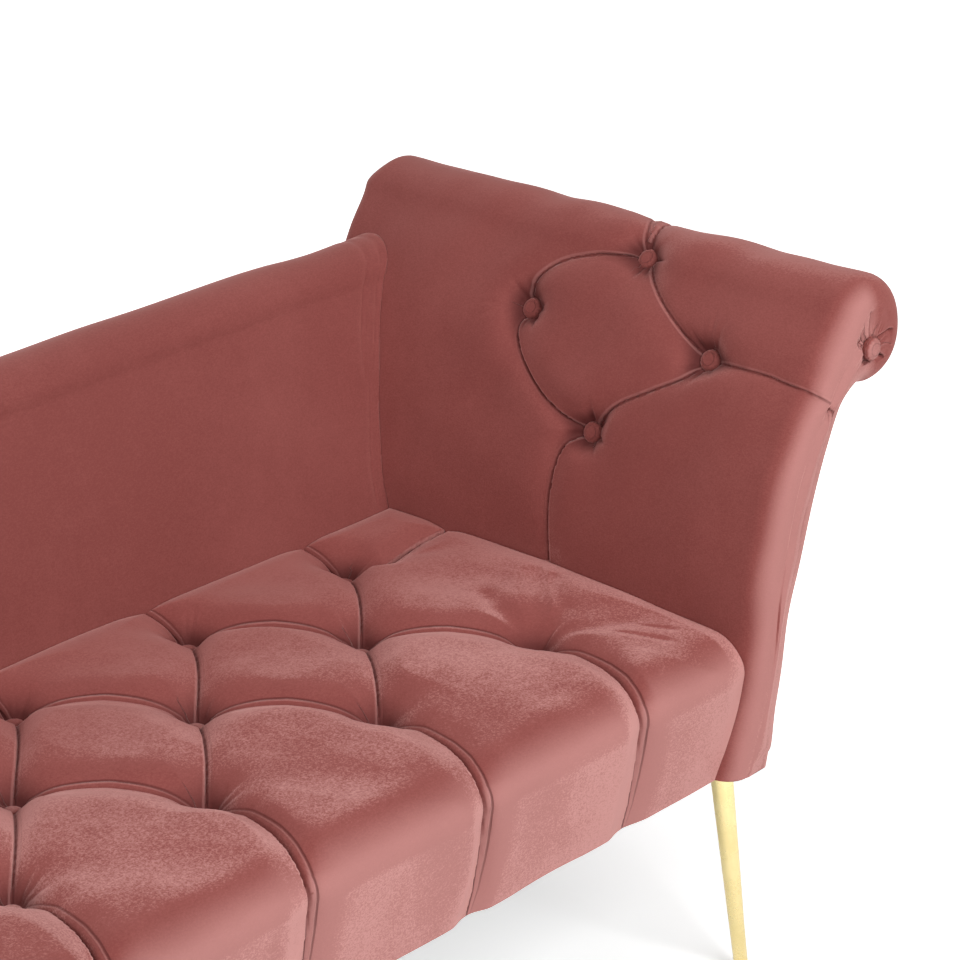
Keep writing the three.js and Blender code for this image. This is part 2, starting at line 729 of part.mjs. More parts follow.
const armRail = [
  [armRailX[0], armRailLow],
  [armRailX[0], armRailLow + armRailHeight],
  [armRailX[1], armRailLow + armRailHeight],
  [armRailX[1], armRailLow],
];
add("arm_rail_low", armPiece(armRail, panelEnd + fitGap, rearPanelStart - fitGap), timber);

// Timber base
add("deck", cutAll(block([coreFootX, coreFrontY, deckFloor], [coreHeadX, coreRearY, deckTop]), seatHollows), timber);
const postEnds = { foot: [coreFootX, coreFootX + cornerPost], head: [coreHeadX - cornerPost, coreHeadX] };
const postSides = { front: [coreFrontY, coreFrontY + cornerPost], rear: [coreRearY - cornerPost, coreRearY] };
const railSpanX = [postEnds.foot[1] + fitGap, postEnds.head[0] - fitGap];
const railSpanY = [postSides.front[1] + fitGap, postSides.rear[0] - fitGap];
const rail = (name, [x0, x1], [y0, y1], floor = railFloor) => add(name, block([x0, y0, floor], [x1, y1, railTop]), timber);
rail("rail_front", railSpanX, [coreFrontY, coreFrontY + railThickness]);
rail("rail_rear", railSpanX, [coreRearY - railThickness, coreRearY]);
rail("rail_foot", [coreFootX, coreFootX + railThickness], railSpanY);
rail("rail_head", [coreHeadX - railThickness, coreHeadX], railSpanY);
braceColumns.forEach((column, i) => {
  const x = columnX(column);
  const span = [coreFrontY + railThickness + fitGap, coreRearY - railThickness - fitGap];
  rail(`brace_${i + 1}`, [x - railThickness / 2, x + railThickness / 2], span, railTop - braceHeight);
});

// Legs, each with its corner post, nut and glide
const legTop = railFloor - fitGap;
const legFoot = glideThickness + fitGap;
let dustCover = block([coreFootX, coreFrontY, undersideHeight], [coreHeadX, coreRearY, undersideHeight + dustThickness]);
for (const [end, [x0, x1]] of Object.entries(postEnds)) {
  for (const [side, [y0, y1]] of Object.entries(postSides)) {
    const [outX, outY] = [end === "foot" ? -1 : 1, side === "front" ? -1 : 1];
    const x = outX < 0 ? x0 + legInset : x1 - legInset;
    const y = outY < 0 ? y0 + legInset : y1 - legInset;
    const splayed = (profile) => {
      const shape = turned(profile, roundSides);
      const at = shape.attributes.position;
      for (let i = 0; i < at.count; i++) {
        const reach = legSplay * Math.max(0, legTop - at.getZ(i));
        at.setXY(i, at.getX(i) + x + outX * reach, at.getY(i) + y + outY * reach);
      }
      return solidOf(shape);
    };
    const leg = splayed([
      [0, railTop - studShort],
      [studRadius, railTop - studShort],
      [studRadius, legTop],
      [legTopRadius, legTop],
      [legFootRadius, legFoot],
      [legFootRadius - legWall, legFoot],
      [legTopRadius - legWall, legTop - legTopPlate],
      [0, legTop - legTopPlate],
    ]);
    const plugRadius = legFootRadius - legWall - fitGap;
    const glide = splayed([
      [0, legFoot + glidePlug],
      [plugRadius, legFoot + glidePlug],
      [plugRadius, glideThickness],
      [legFootRadius, glideThickness],
      [legFootRadius - glideBevel, 0],
      [0, 0],
    ]);
    const bore = studRadius + fitGap;
    const nut = turned(
      [
        [bore, railTop],
        [tnutFlangeRadius, railTop],
        [tnutFlangeRadius, railTop - tnutFlange],
        [tnutBarrelRadius, railTop - tnutFlange],
        [tnutBarrelRadius, railTop - tnutBarrel],
        [bore, railTop - tnutBarrel],
        [bore, railTop],
      ],
      roundSides,
    ).translate(x, y, 0);
    const shaft = bar(x, y, undersideHeight, railTop + cutOverrun, tnutBarrelRadius + fitGap, roundSides);
    const recessFloor = railTop - tnutFlange - fitGap;
    const recess = bar(x, y, recessFloor, railTop + cutOverrun, tnutFlangeRadius + fitGap, roundSides);
    const post = block([x0, y0, railFloor], [x1, y1, railTop]);
    add(`corner_post_${end}_${side}`, cutAll(post, [shaft, recess]), timber);
    add(`leg_nut_${end}_${side}`, solidOf(nut), steel);
    add(`leg_${end}_${side}`, leg, brass);
    add(`leg_glide_${end}_${side}`, glide, plastic);
    const dustHole = legTopRadius + fitGap + legSplay * dustThickness;
    dustCover = dustCover.subtract(bar(x, y, 0, railFloor, dustHole, roundSides));
  }
}
add("dust_cover", dustCover, lining);

export default group;
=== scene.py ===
"""Velvet fainting couch: padded covers, covered buttons, brass legs and lining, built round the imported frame.

Sizes are in millimetres in the classes. Meshes are scaled to metres as they are made.
"""
import sys
import json
import logging
import math
from collections.abc import Sequence
from dataclasses import dataclass, field
from enum import Enum

import bpy
import numpy as np
from mathutils import Matrix, Vector

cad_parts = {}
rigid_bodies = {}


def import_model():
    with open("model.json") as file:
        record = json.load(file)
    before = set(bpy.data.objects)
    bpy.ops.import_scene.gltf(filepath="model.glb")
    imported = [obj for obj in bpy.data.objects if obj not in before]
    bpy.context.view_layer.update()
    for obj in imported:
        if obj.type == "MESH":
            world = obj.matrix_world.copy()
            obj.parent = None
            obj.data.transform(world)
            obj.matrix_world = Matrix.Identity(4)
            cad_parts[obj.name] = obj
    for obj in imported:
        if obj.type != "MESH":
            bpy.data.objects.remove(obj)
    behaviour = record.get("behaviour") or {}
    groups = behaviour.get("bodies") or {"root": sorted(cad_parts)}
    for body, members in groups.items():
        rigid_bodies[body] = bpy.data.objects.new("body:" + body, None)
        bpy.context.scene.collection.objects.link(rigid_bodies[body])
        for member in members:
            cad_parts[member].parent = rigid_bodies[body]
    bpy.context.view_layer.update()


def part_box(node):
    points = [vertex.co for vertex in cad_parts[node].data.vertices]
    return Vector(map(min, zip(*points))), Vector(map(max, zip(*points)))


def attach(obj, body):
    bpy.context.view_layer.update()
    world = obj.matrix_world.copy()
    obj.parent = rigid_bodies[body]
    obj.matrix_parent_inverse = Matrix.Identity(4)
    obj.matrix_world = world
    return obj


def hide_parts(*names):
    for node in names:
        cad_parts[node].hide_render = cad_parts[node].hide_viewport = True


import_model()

LOG = logging.getLogger("couch")
MM = 0.001
QUARTER = math.pi / 2
FAR = 1e3
Grid = np.ndarray
Flat = tuple[float, float]
Triple = tuple[float, float, float]
Piece = bpy.types.Object
Material = bpy.types.Material
Tree = bpy.types.NodeTree
Socket = bpy.types.NodeSocket
Value = Socket | float | Triple


@dataclass(frozen=True)
class Plan:
    """Driving sizes of the couch, shared by its covers, in millimetres."""

    seat_length: float = 1506.0
    arm_reach: float = 242.0
    arm_rise: float = 358.0
    platform_depth: float = 656.0
    back_lean: float = 64.0
    underside: float = 270.0
    crown: float = 436.4
    seat_crown: float = 16.0
    back_thickness: float = 115.0
    arm_edge: float = 20.0
    base_top: float = 344.1
    core_inset_foot: float = 20.0
    core_reach_head: float = 36.0
    core_front: float = 30.0
    core_rear: float = 16.0

    @property
    def seat_height(self) -> float:
        """Level at which the seat meets the arm and the back."""
        return self.crown - self.seat_crown

    @property
    def head_x(self) -> float:
        """Outer end of the arm."""
        return (self.seat_length + self.arm_reach) / 2

    @property
    def foot_x(self) -> float:
        """Foot end of the seat."""
        return -self.head_x

    @property
    def arm_x(self) -> float:
        """Place where the seat meets the arm."""
        return self.head_x - self.arm_reach

    @property
    def front_y(self) -> float:
        """Front plane of the arm."""
        return -(self.platform_depth + self.back_lean * (1 - self.arm_edge / self.arm_rise)) / 2

    @property
    def rear_y(self) -> float:
        """Rear plane of the base."""
        return self.front_y + self.platform_depth

    @property
    def back_y(self) -> float:
        """Place where the seat meets the back."""
        return self.rear_y - self.back_thickness

    @property
    def seat_depth(self) -> float:
        """Depth of the platform in front of the back."""
        return self.platform_depth - self.back_thickness

    def rear_at(self, z: Grid) -> Grid:
        """Rear face of the couch at a height, with its lean."""
        return self.rear_y + self.back_lean * np.maximum(0, z - self.seat_height) / self.arm_rise


PLAN = Plan()


def cusp(distance: Grid, width: float, power: float) -> Grid:
    """Falls from 1 at no distance to 0 at the width."""
    return np.clip(1 - distance / width, 0, 1) ** power


def smooth(share: Grid) -> Grid:
    """Smooth step from 0 to 1."""
    share = np.clip(share, 0, 1)
    return share * share * (3 - 2 * share)


def bell(distance: Grid, width: float) -> Grid:
    """Round bump of height 1 and a given width."""
    return np.exp(-((distance / width) ** 2))


def rounded(line: Sequence[Flat], steps: int = 6) -> tuple[Flat, ...]:
    """Draws a smooth curve through the points of a line."""
    points = np.array([line[0], *line, line[-1]], float)
    curve = []
    for before, start, end, after in zip(points, points[1:], points[2:], points[3:]):
        for share in np.arange(steps) / steps:
            lead, tail = (end - before) / 2, (after - start) / 2
            turn = 3 * share**2 - 2 * share**3
            bend = lead * (share**3 - 2 * share**2 + share) + tail * (share**3 - share**2)
            curve.append(start * (1 - turn) + end * turn + bend)
    curve.append(points[-1])
    return tuple((float(a), float(b)) for a, b in curve)


class Ripples:
    """Soft uneven swell of a padded cover: a few seeded waves of random direction."""

    def __init__(self, seed: int, longest: float, shortest: float, count: int = 14) -> None:
        """Draws the waves.

        Args:
            seed: Seed of the draw, so that each run gives the same cover.
            longest: Longest wave in millimetres.
            shortest: Shortest wave in millimetres.
            count: Number of waves.
        """
        draw = np.random.default_rng(seed)
        turn = draw.uniform(0, math.tau, count)
        length = np.exp(draw.uniform(math.log(shortest), math.log(longest), count))
        self.waves = np.stack([np.cos(turn), np.sin(turn)]) * (math.tau / length)
        self.phase = draw.uniform(0, math.tau, count)
        self.weight = length / np.sqrt((length**2).sum() / 2)

    def at(self, a: Grid, b: Grid) -> Grid:
        """Height of the swell, mostly between -1 and 1, at flat places of the cover."""
        total = np.zeros(np.broadcast(a, b).shape)
        for (wave_a, wave_b), phase, weight in zip(self.waves.T, self.phase, self.weight):
            total += weight * np.sin(wave_a * a + wave_b * b + phase)
        return total


@dataclass(frozen=True)
class Fold:
    """A crease or a soft fold along a line of the flat cover, in millimetres.

    A crease is sharp, and its positive side laps over the other. A soft fold is a round valley.
    """

    line: tuple[Flat, ...]
    depth: float
    width: float
    lap: float = 0.0
    pleat: float = 0.0
    notch: float = 5.0
    fade_start: float = 0.0
    fade_end: float = 0.0
    round_shape: bool = False
    power: float = 2.6


@dataclass
class FoldMap:
    """What the folds of a cover do at each place of its flat grid."""

    sink: Grid
    side: Grid
    reach: Grid
    normal_a: Grid
    normal_b: Grid
    pleat: Grid
    arch: Grid
    notch: Grid


def trace_folds(a: Grid, b: Grid, folds: Sequence[Fold]) -> FoldMap:
    """Finds, for each flat place, how deep the folds draw it in, and where it lies beside the nearest crease.

    Args:
        a: First flat coordinate of each place.
        b: Second flat coordinate of each place.
        folds: The folds of the cover.

    Returns:
        The sink, and the signed distance, strength and sideways direction of the nearest crease.
    """
    shape = a.shape
    found = FoldMap(*(np.zeros(shape) for _ in range(8)))
    found.side = np.full(shape, FAR)
    nearest = np.full(shape, FAR)
    for fold in folds:
        points = np.array(fold.line)
        steps = np.diff(points, axis=0)
        lengths = np.hypot(steps[:, 0], steps[:, 1])
        total = lengths.sum()
        margin = max(fold.width, 30.0)
        low, high = points.min(0) - margin, points.max(0) + margin
        hit = np.nonzero((a > low[0]) & (a < high[0]) & (b > low[1]) & (b < high[1]))
        if not len(hit[0]):
            continue
        pa, pb = a[hit], b[hit]
        kept = np.zeros((5, *pa.shape))
        kept[0] = FAR
        run = 0.0
        for (start_a, start_b), (step_a, step_b), length in zip(points[:-1], steps, lengths):
            unit_a, unit_b = step_a / length, step_b / length
            share = np.clip((pa - start_a) * unit_a + (pb - start_b) * unit_b, 0, length)
            gap_a, gap_b = pa - start_a - share * unit_a, pb - start_b - share * unit_b
            gap = np.hypot(gap_a, gap_b)
            signed = np.where(gap_a * -unit_b + gap_b * unit_a < 0, -gap, gap)
            turned = (np.full(pa.shape, -unit_b), np.full(pa.shape, unit_a))
            kept = np.where(gap < kept[0], (gap, signed, run + share, *turned), kept)
            run += length
        best, signed, along, normal_a, normal_b = kept
        strength = np.ones(pa.shape)
        if fold.fade_start:
            strength *= smooth(along / fold.fade_start)
        if fold.fade_end:
            strength *= smooth((total - along) / fold.fade_end)
        form = bell(best, fold.width / 2) if fold.round_shape else cusp(best, fold.width, fold.power)
        found.sink[hit] = np.maximum(found.sink[hit], fold.depth * strength * form)
        if fold.round_shape:
            continue
        take = best < nearest[hit]
        hit = tuple(index[take] for index in hit)
        strength = strength[take]
        nearest[hit] = best[take]
        found.side[hit] = signed[take]
        found.reach[hit] = strength * fold.lap
        found.pleat[hit] = strength * fold.pleat
        found.arch[hit] = np.sqrt(np.maximum(0, np.sin(np.pi * along[take] / total)))
        found.notch[hit] = strength * fold.notch
        found.normal_a[hit] = normal_a[take]
        found.normal_b[hit] = normal_b[take]
    return found


@dataclass(frozen=True)
class Buttoning:
    """How the buttons of a cover pull it in, in millimetres."""

    places: tuple[Flat, ...]
    depth: float
    core: float
    wide: float
    wide_share: float = 0.2
    seat_radius: float = 13.0
    seat_drop: float = 3.6
    gather_depth: float = 1.3
    gather_reach: float = 46.0
    gathers: int = 11
    seed: int = 7

    def nearest(self, a: Grid, b: Grid) -> Grid:
        """Offset from the nearest button to each flat place, and that button's number."""
        gap = np.full(a.shape, np.inf)
        found = np.zeros((3, *a.shape))
        for number, (place_a, place_b) in enumerate(self.places):
            offset_a, offset_b = a - place_a, b - place_b
            distance = np.hypot(offset_a, offset_b)
            found = np.where(distance < gap, (offset_a, offset_b, np.full(a.shape, number)), found)
            gap = np.minimum(distance, gap)
        return found

    def sink(self, a: Grid, b: Grid, creased: Grid) -> tuple[Grid, Grid]:
        """How deep the buttons draw the cover in.

        Args:
            a: First flat coordinate of each place.
            b: Second flat coordinate of each place.
            creased: Distance to the nearest crease, along which a hollow reaches further.

        Returns:
            The depth at each place, and the share of the full depth.
        """
        offset_a, offset_b, number = self.nearest(a, b)
        distance = np.hypot(offset_a, offset_b)
        between = smooth(creased / np.maximum(distance, 1) * 1.5)
        reach = distance * (1 + 0.25 * between * smooth(distance / self.wide))
        share = (1 - self.wide_share) * np.exp(-((reach / self.core) ** 1.45))
        share += self.wide_share * np.exp(-((reach / self.wide) ** 2))
        share *= smooth((self.wide * 2.4 - distance) / self.wide)
        draw = np.random.default_rng(self.seed)
        turn = np.arctan2(offset_b, offset_a)
        lines = np.zeros(a.shape)
        for index in range(len(self.places)):
            mine = number == index
            away = distance[mine]
            for _ in range(self.gathers):
                angle, end = draw.uniform(0, math.tau), self.gather_reach * draw.uniform(0.5, 1)
                apart = np.abs((turn[mine] - angle + math.pi) % math.tau - math.pi)
                window = smooth((away - 9) / 8) * smooth((end - away) / (self.gather_reach * 0.6))
                lines[mine] += window * bell(apart * np.maximum(away, 12), 2.4)
        depth = self.depth * share + self.gather_depth * lines
        return depth + self.seat_drop * (1 - smooth((distance - self.seat_radius) / 3.5)), share


def grid_triangles(numbers: Grid, near: Grid) -> Grid:
    """Two triangles for each cell of a grid, cut along the diagonal that follows a crease.

    Args:
        numbers: Vertex numbers of the grid.
        near: Distance of each vertex to the nearest crease.

    Returns:
        The triangles, three vertex numbers each.
    """
    a, b, c, d = numbers[:-1, :-1], numbers[:-1, 1:], numbers[1:, 1:], numbers[1:, :-1]
    na, nb, nc, nd = near[:-1, :-1], near[:-1, 1:], near[1:, 1:], near[1:, :-1]
    first = (np.maximum(na, nc) <= np.maximum(nb, nd))[..., None]
    one = np.where(first, np.stack([a, b, c], -1), np.stack([a, b, d], -1))
    two = np.where(first, np.stack([a, c, d], -1), np.stack([b, c, d], -1))
    return np.concatenate([one.reshape(-1, 3), two.reshape(-1, 3)])


def deselect() -> None:
    """Leaves nothing selected."""
    bpy.ops.object.select_all(action="DESELECT")


def select_only(piece: Piece) -> None:
    """Selects one object and makes it active."""
    deselect()
    piece.select_set(True)
    bpy.context.view_layer.objects.active = piece


def mesh_piece(name: str, points: Grid, triangles: Grid) -> Piece:
    """Makes an object from points in millimetres and triangles, with its faces outward.

    Args:
        name: Name of the piece.
        points: Points, three numbers each.
        triangles: Vertex numbers, three to a face.

    Returns:
        The new object, linked to the scene.
    """
    points = np.asarray(points, float).reshape(-1, 3)
    triangles = np.asarray(triangles, np.int64).reshape(-1, 3)
    corners = points[triangles]
    volume = np.einsum("ij,ij->i", corners[:, 0], np.cross(corners[:, 1], corners[:, 2])).sum()
    if volume < 0:
        triangles = triangles[:, ::-1]
    mesh = bpy.data.meshes.new(name)
    mesh.vertices.add(len(points))
    mesh.vertices.foreach_set("co", (points * MM).ravel())
    mesh.loops.add(triangles.size)
    mesh.loops.foreach_set("vertex_index", triangles.ravel())
    mesh.polygons.add(len(triangles))
    mesh.polygons.foreach_set("loop_start", np.arange(0, triangles.size, 3))
    mesh.update(calc_edges=True)
    mesh.validate()
    piece = bpy.data.objects.new(name, mesh)
    bpy.context.scene.collection.objects.link(piece)
    return piece


def apply_modifiers(piece: Piece) -> None:
    """Applies every modifier of a piece in turn."""
    select_only(piece)
    for modifier in list(piece.modifiers):
        bpy.ops.object.modifier_apply(modifier=modifier.name)


def cut_away(piece: Piece, rooms: Sequence[Piece]) -> None:
    """Cuts closed rooms from a closed piece."""
    for room in rooms:
        modifier = piece.modifiers.new("room", "BOOLEAN")
        modifier.operation = "DIFFERENCE"
        modifier.solver = "MANIFOLD"
        modifier.object = room
        apply_modifiers(piece)


def settle() -> None:
    """Applies the place, turn and scale of what is selected."""
    bpy.ops.object.transform_apply(location=True, rotation=True, scale=True)


def join_pieces(pieces: Sequence[Piece]) -> Piece:
    """Joins pieces into the first one, settles it and returns it."""
    select_only(pieces[0])
    for piece in pieces:
        piece.select_set(True)
    if len(pieces) > 1:
        bpy.ops.object.join()
    settle()
    return pieces[0]


def enter_edit() -> None:
    """Enters edit mode."""
    bpy.ops.object.mode_set(mode="EDIT")


def leave_edit() -> None:
    """Leaves edit mode with nothing selected."""
    bpy.ops.mesh.select_all(action="DESELECT")
    bpy.ops.object.mode_set(mode="OBJECT")


def edit_caps(piece: Piece, low: float, high: float) -> None:
    """Enters edit mode with the end faces selected whose middle lies between two heights in millimetres."""
    for face in piece.data.polygons:
        face.select = len(face.vertices) > 8 and low < face.center.z / MM < high
    enter_edit()


def draw_out(height: float) -> None:
    """Extrudes the selected face upward by a height in millimetres."""
    bpy.ops.mesh.extrude_region_move(TRANSFORM_OT_translate={"value": (0, 0, height * MM)})


def ease_rims(piece: Piece, width: float, angle: float) -> None:
    """Rounds the edges of a piece that are sharper than an angle in degrees."""
    rims = piece.modifiers.new("rims", "BEVEL")
    rims.width, rims.segments = width * MM, 3
    rims.limit_method, rims.angle_limit = "ANGLE", math.radians(angle)
    apply_modifiers(piece)


def block_room(low: Sequence[float], high: Sequence[float]) -> Piece:
    """A block between two corners in millimetres, to cut from a cover."""
    deselect()
    low_corner, high_corner = Vector(low) * MM, Vector(high) * MM
    bpy.ops.mesh.primitive_cube_add(size=1, location=(low_corner + high_corner) / 2)
    room = bpy.context.active_object
    room.scale = high_corner - low_corner
    settle()
    return room


def loft_room(rings: Sequence[Grid]) -> Piece:
    """A closed solid through rings of equal counts, to cut from a cover."""
    stack = np.array(rings, float)
    count, size = stack.shape[:2]
    numbers = np.arange(count * size).reshape(count, size)
    wrapped = np.concatenate([numbers, numbers[:, :1]], axis=1)
    sides = grid_triangles(wrapped, np.zeros(wrapped.shape))
    triangles = np.concatenate([sides, zip_ring(numbers[0]), zip_ring(numbers[-1])[:, ::-1]])
    return mesh_piece("loft_room", stack.reshape(-1, 3), triangles)


def zip_ring(ring: Grid) -> Grid:
    """Triangles that close a ring of vertex numbers, from one half across to the other."""
    last = len(ring) - 1
    faces = []
    for i in range(len(ring) // 2):
        k = last - i
        faces += [(i, k, k - 1)] if k - 1 > i else []
        faces += [(i, k - 1, i + 1)] if k - 1 > i + 1 else []
    return ring[np.array(faces)]


def drop_objects(*pieces: Piece) -> None:
    """Removes helper objects and their meshes."""
    for piece in pieces:
        bpy.data.meshes.remove(piece.data)


class Path:
    """A smooth outline of a cover, laid flat by its length."""

    def __init__(self, points: Grid, zero: int, closest: float = 1.0) -> None:
        """Draws a smooth curve through the points.

        Args:
            points: Points of the outline in its plane.
            zero: Number of the point from which the length is counted.
            closest: Spacing of the dense curve.
        """
        points = np.array(points, float)
        ends = np.concatenate([[2 * points[0] - points[1]], points, [2 * points[-1] - points[-2]]])
        dense, marks = [], []
        count = 0
        for before, start, end, after in zip(ends, ends[1:], ends[2:], ends[3:]):
            marks.append(count)
            length = math.dist(start, end)
            steps = max(2, round(length / closest))
            lead = (end - before) * length / (length + math.dist(before, start))
            tail = (after - start) * length / (length + math.dist(end, after))
            share = (np.arange(steps) / steps)[:, None]
            dense.append(
                start * (2 * share**3 - 3 * share**2 + 1)
                + lead * (share**3 - 2 * share**2 + share)
                + end * (3 * share**2 - 2 * share**3)
                + tail * (share**3 - share**2)
            )
            count += steps
        marks.append(count)
        self.points = np.concatenate([*dense, points[-1:]])
        step = np.diff(self.points, axis=0)
        runs = np.concatenate([[0], np.cumsum(np.hypot(step[:, 0], step[:, 1]))])
        self.runs = runs - runs[marks[zero]]
        self.marks = self.runs[marks]
        tangent = np.gradient(self.points, self.runs, axis=0)
        tangent /= np.linalg.norm(tangent, axis=1)[:, None]
        self.normals = np.stack([-tangent[:, 1], tangent[:, 0]], 1)

    def place(self, run: Grid) -> tuple[Grid, Grid]:
        """Point of the outline at a length along it."""
        return np.interp(run, self.runs, self.points[:, 0]), np.interp(run, self.runs, self.points[:, 1])

    def normal(self, run: Grid) -> tuple[Grid, Grid]:
        """Outward direction at a length along the outline."""
        return np.interp(run, self.runs, self.normals[:, 0]), np.interp(run, self.runs, self.normals[:, 1])

    def soft_normal(self, run: Grid, reach: float) -> list[Grid]:
        """Mean outward direction within a reach to both sides of a place."""
        low, high = np.maximum(run - reach, self.runs[0]), np.minimum(run + reach, self.runs[-1])
        steps = (self.normals[1:] + self.normals[:-1]) / 2 * np.diff(self.runs)[:, None]
        sums = np.concatenate([np.zeros((1, 2)), np.cumsum(steps, axis=0)])
        return [
            (np.interp(high, self.runs, part) - np.interp(low, self.runs, part)) / (high - low) for part in sums.T
        ]


@dataclass
class Shell:
    """Collects the grids and caps of one closed cover."""

    points: list[Grid] = field(default_factory=list)
    lay: list[Grid] = field(default_factory=list)
    fold: list[Grid] = field(default_factory=list)
    triangles: list[Grid] = field(default_factory=list)
    count: int = 0

    def grid(self, points: Grid, lay: Grid, fold: Grid) -> Grid:
        """Adds the vertices of a grid.

        Args:
            points: Places of its vertices in millimetres.
            lay: Flat place and depth of each vertex.
            fold: Signed distance, strength and pleat of the nearest crease.

        Returns:
            The numbers of the new vertices.
        """
        numbers = self.count + np.arange(points[..., 0].size).reshape(points.shape[:-1])
        self.count += numbers.size
        self.points.append(points.reshape(-1, 3))
        self.lay.append(lay.reshape(-1, 3))
        self.fold.append(fold.reshape(-1, 3))
        return numbers

    def faces(self, numbers: Grid, near: Grid) -> None:
        """Adds the faces of a grid of vertex numbers."""
        self.triangles.append(grid_triangles(numbers, near))

    def strip(self, left: Grid, right: Grid) -> None:
        """Adds the flat underside between the two ends of each ring, from one ring to the next."""
        a, b, c, d = left[:-1], left[1:], right[1:], right[:-1]
        self.triangles.append(np.concatenate([np.stack([a, b, c], 1), np.stack([a, c, d], 1)]))

    def fan(self, hub: int, chain: Grid) -> None:
        """Adds a fan of faces from one vertex to a chain of vertices."""
        self.triangles.append(np.stack([np.full(len(chain) - 1, hub), chain[:-1], chain[1:]], 1))

    def build(self, name: str) -> Piece:
        """Makes the closed cover with the attributes that its material reads."""
        triangles = np.concatenate(self.triangles)
        a, b, c = triangles.T
        triangles = triangles[(a != b) & (b != c) & (c != a)]
        piece = mesh_piece(name, np.concatenate(self.points), triangles)
        for key, values in (("lay", self.lay), ("fold", self.fold)):
            layer = piece.data.attributes.new(key, "FLOAT_VECTOR", "POINT")
            layer.data.foreach_set("vector", np.concatenate(values).astype(np.float32).ravel())
        known = piece.data.attributes.new("known", "FLOAT", "POINT")
        known.data.foreach_set("value", np.ones(self.count, np.float32))
        return piece


def heal_attributes(piece: Piece, rounds: int = 4) -> None:
    """Gives the vertices that a cut made the flat place and fold of their neighbours."""
    mesh = piece.data
    count = len(mesh.vertices)
    edges = np.empty(len(mesh.edges) * 2, np.int64)
    mesh.edges.foreach_get("vertices", edges)
    edges = edges.reshape(-1, 2)
    edges = np.concatenate([edges, edges[:, ::-1]])
    known = np.empty(count, np.float32)
    mesh.attributes["known"].data.foreach_get("value", known)
    values = {}
    for key in ("lay", "fold"):
        data = np.empty(count * 3, np.float32)
        mesh.attributes[key].data.foreach_get("vector", data)
        values[key] = data.reshape(-1, 3)
    sure = known > 0.99
    for _ in range(rounds):
        pairs = edges[sure[edges[:, 0]] & ~sure[edges[:, 1]]]
        hits = np.bincount(pairs[:, 1], minlength=count)
        fresh = hits > 0
        for data in values.values():
            for axis in range(3):
                total = np.bincount(pairs[:, 1], weights=data[pairs[:, 0], axis], minlength=count)
                data[fresh, axis] = total[fresh] / hits[fresh]
        sure = sure | fresh
    for key, data in values.items():
        mesh.attributes[key].data.foreach_set("vector", data.ravel())
    mesh.attributes.remove(mesh.attributes["known"])


def dress(piece: Piece, material: Material, angle: float, node: str, slot: str) -> None:
    """Gives a finished piece its material, hangs it on the root body and hides the CAD node that it replaces.

    Args:
        piece: The piece.
        material: Its material.
        angle: Angle in degrees up to which edges are shaded smooth, or 0 to leave them as they are.
        node: Name of the CAD node that it replaces.
        slot: Not used.
    """
    piece.data.name = piece.name
    piece.data.materials.clear()
    piece.data.materials.append(material)
    if angle:
        select_only(piece)
        bpy.ops.object.shade_smooth_by_angle(angle=math.radians(angle))
    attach(piece, "root")
    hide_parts(node)
    LOG.info("%s: %d faces", piece.name, len(piece.data.polygons))


def finish_cover(piece: Piece, material: Material, node: str) -> None:
    """Shades a cover and gives it its velvet."""
    heal_attributes(piece)
    dress(piece, material, 62, node, "velvet")


@dataclass(frozen=True)
class Relief:
    """Sizes of the creases on a cover, in millimetres."""

    snap: float = 1.0
    lip_place: float = 1.5
    snap_reach: float = 4.2
    lip_width: float = 1.6
    under_width: float = 8.0
    lap_width: float = 9.0
    lift: float = 2.4
    lift_width: float = 20.0
    strip_start: float = 3.0
    strip_span: float = 4.5
    strip_edge: float = 2.2


RELIEF = Relief()


@dataclass
class Laid:
    """A cover laid flat: where each vertex lies, how far it is drawn in and how far it slides sideways."""

    a: Grid
    b: Grid
    sink: Grid
    slide_a: Grid
    slide_b: Grid
    side: Grid
    reach: Grid
    pleat: Grid

    @property
    def lay(self) -> Grid:
        """Flat place and depth, for the material, which paints shade in the pits by the depth."""
        return np.stack([self.a, self.b, self.sink], -1)

    @property
    def fold(self) -> Grid:
        """Crease distance, strength and pleat, for the material, which paints shade and highlights along the creases
        by them and bumps them.
        """
        return np.stack([self.side, self.reach, self.pleat], -1)


def snapped(side: Grid) -> Grid:
    """Tells which vertices to move onto a crease: of each edge that crosses it, the nearer end."""
    near = np.abs(side)
    if side.ndim < 2:
        return near < RELIEF.snap
    chosen = np.zeros(side.shape, bool)
    for first, last in ((np.s_[:-1], np.s_[1:]), (np.s_[:, :-1], np.s_[:, 1:])):
        crossing = (side[first] * side[last] < 0) & (near[first] + near[last] < RELIEF.snap_reach)
        chosen[first] |= crossing & (near[first] <= near[last])
        chosen[last] |= crossing & (near[first] > near[last])
    return chosen


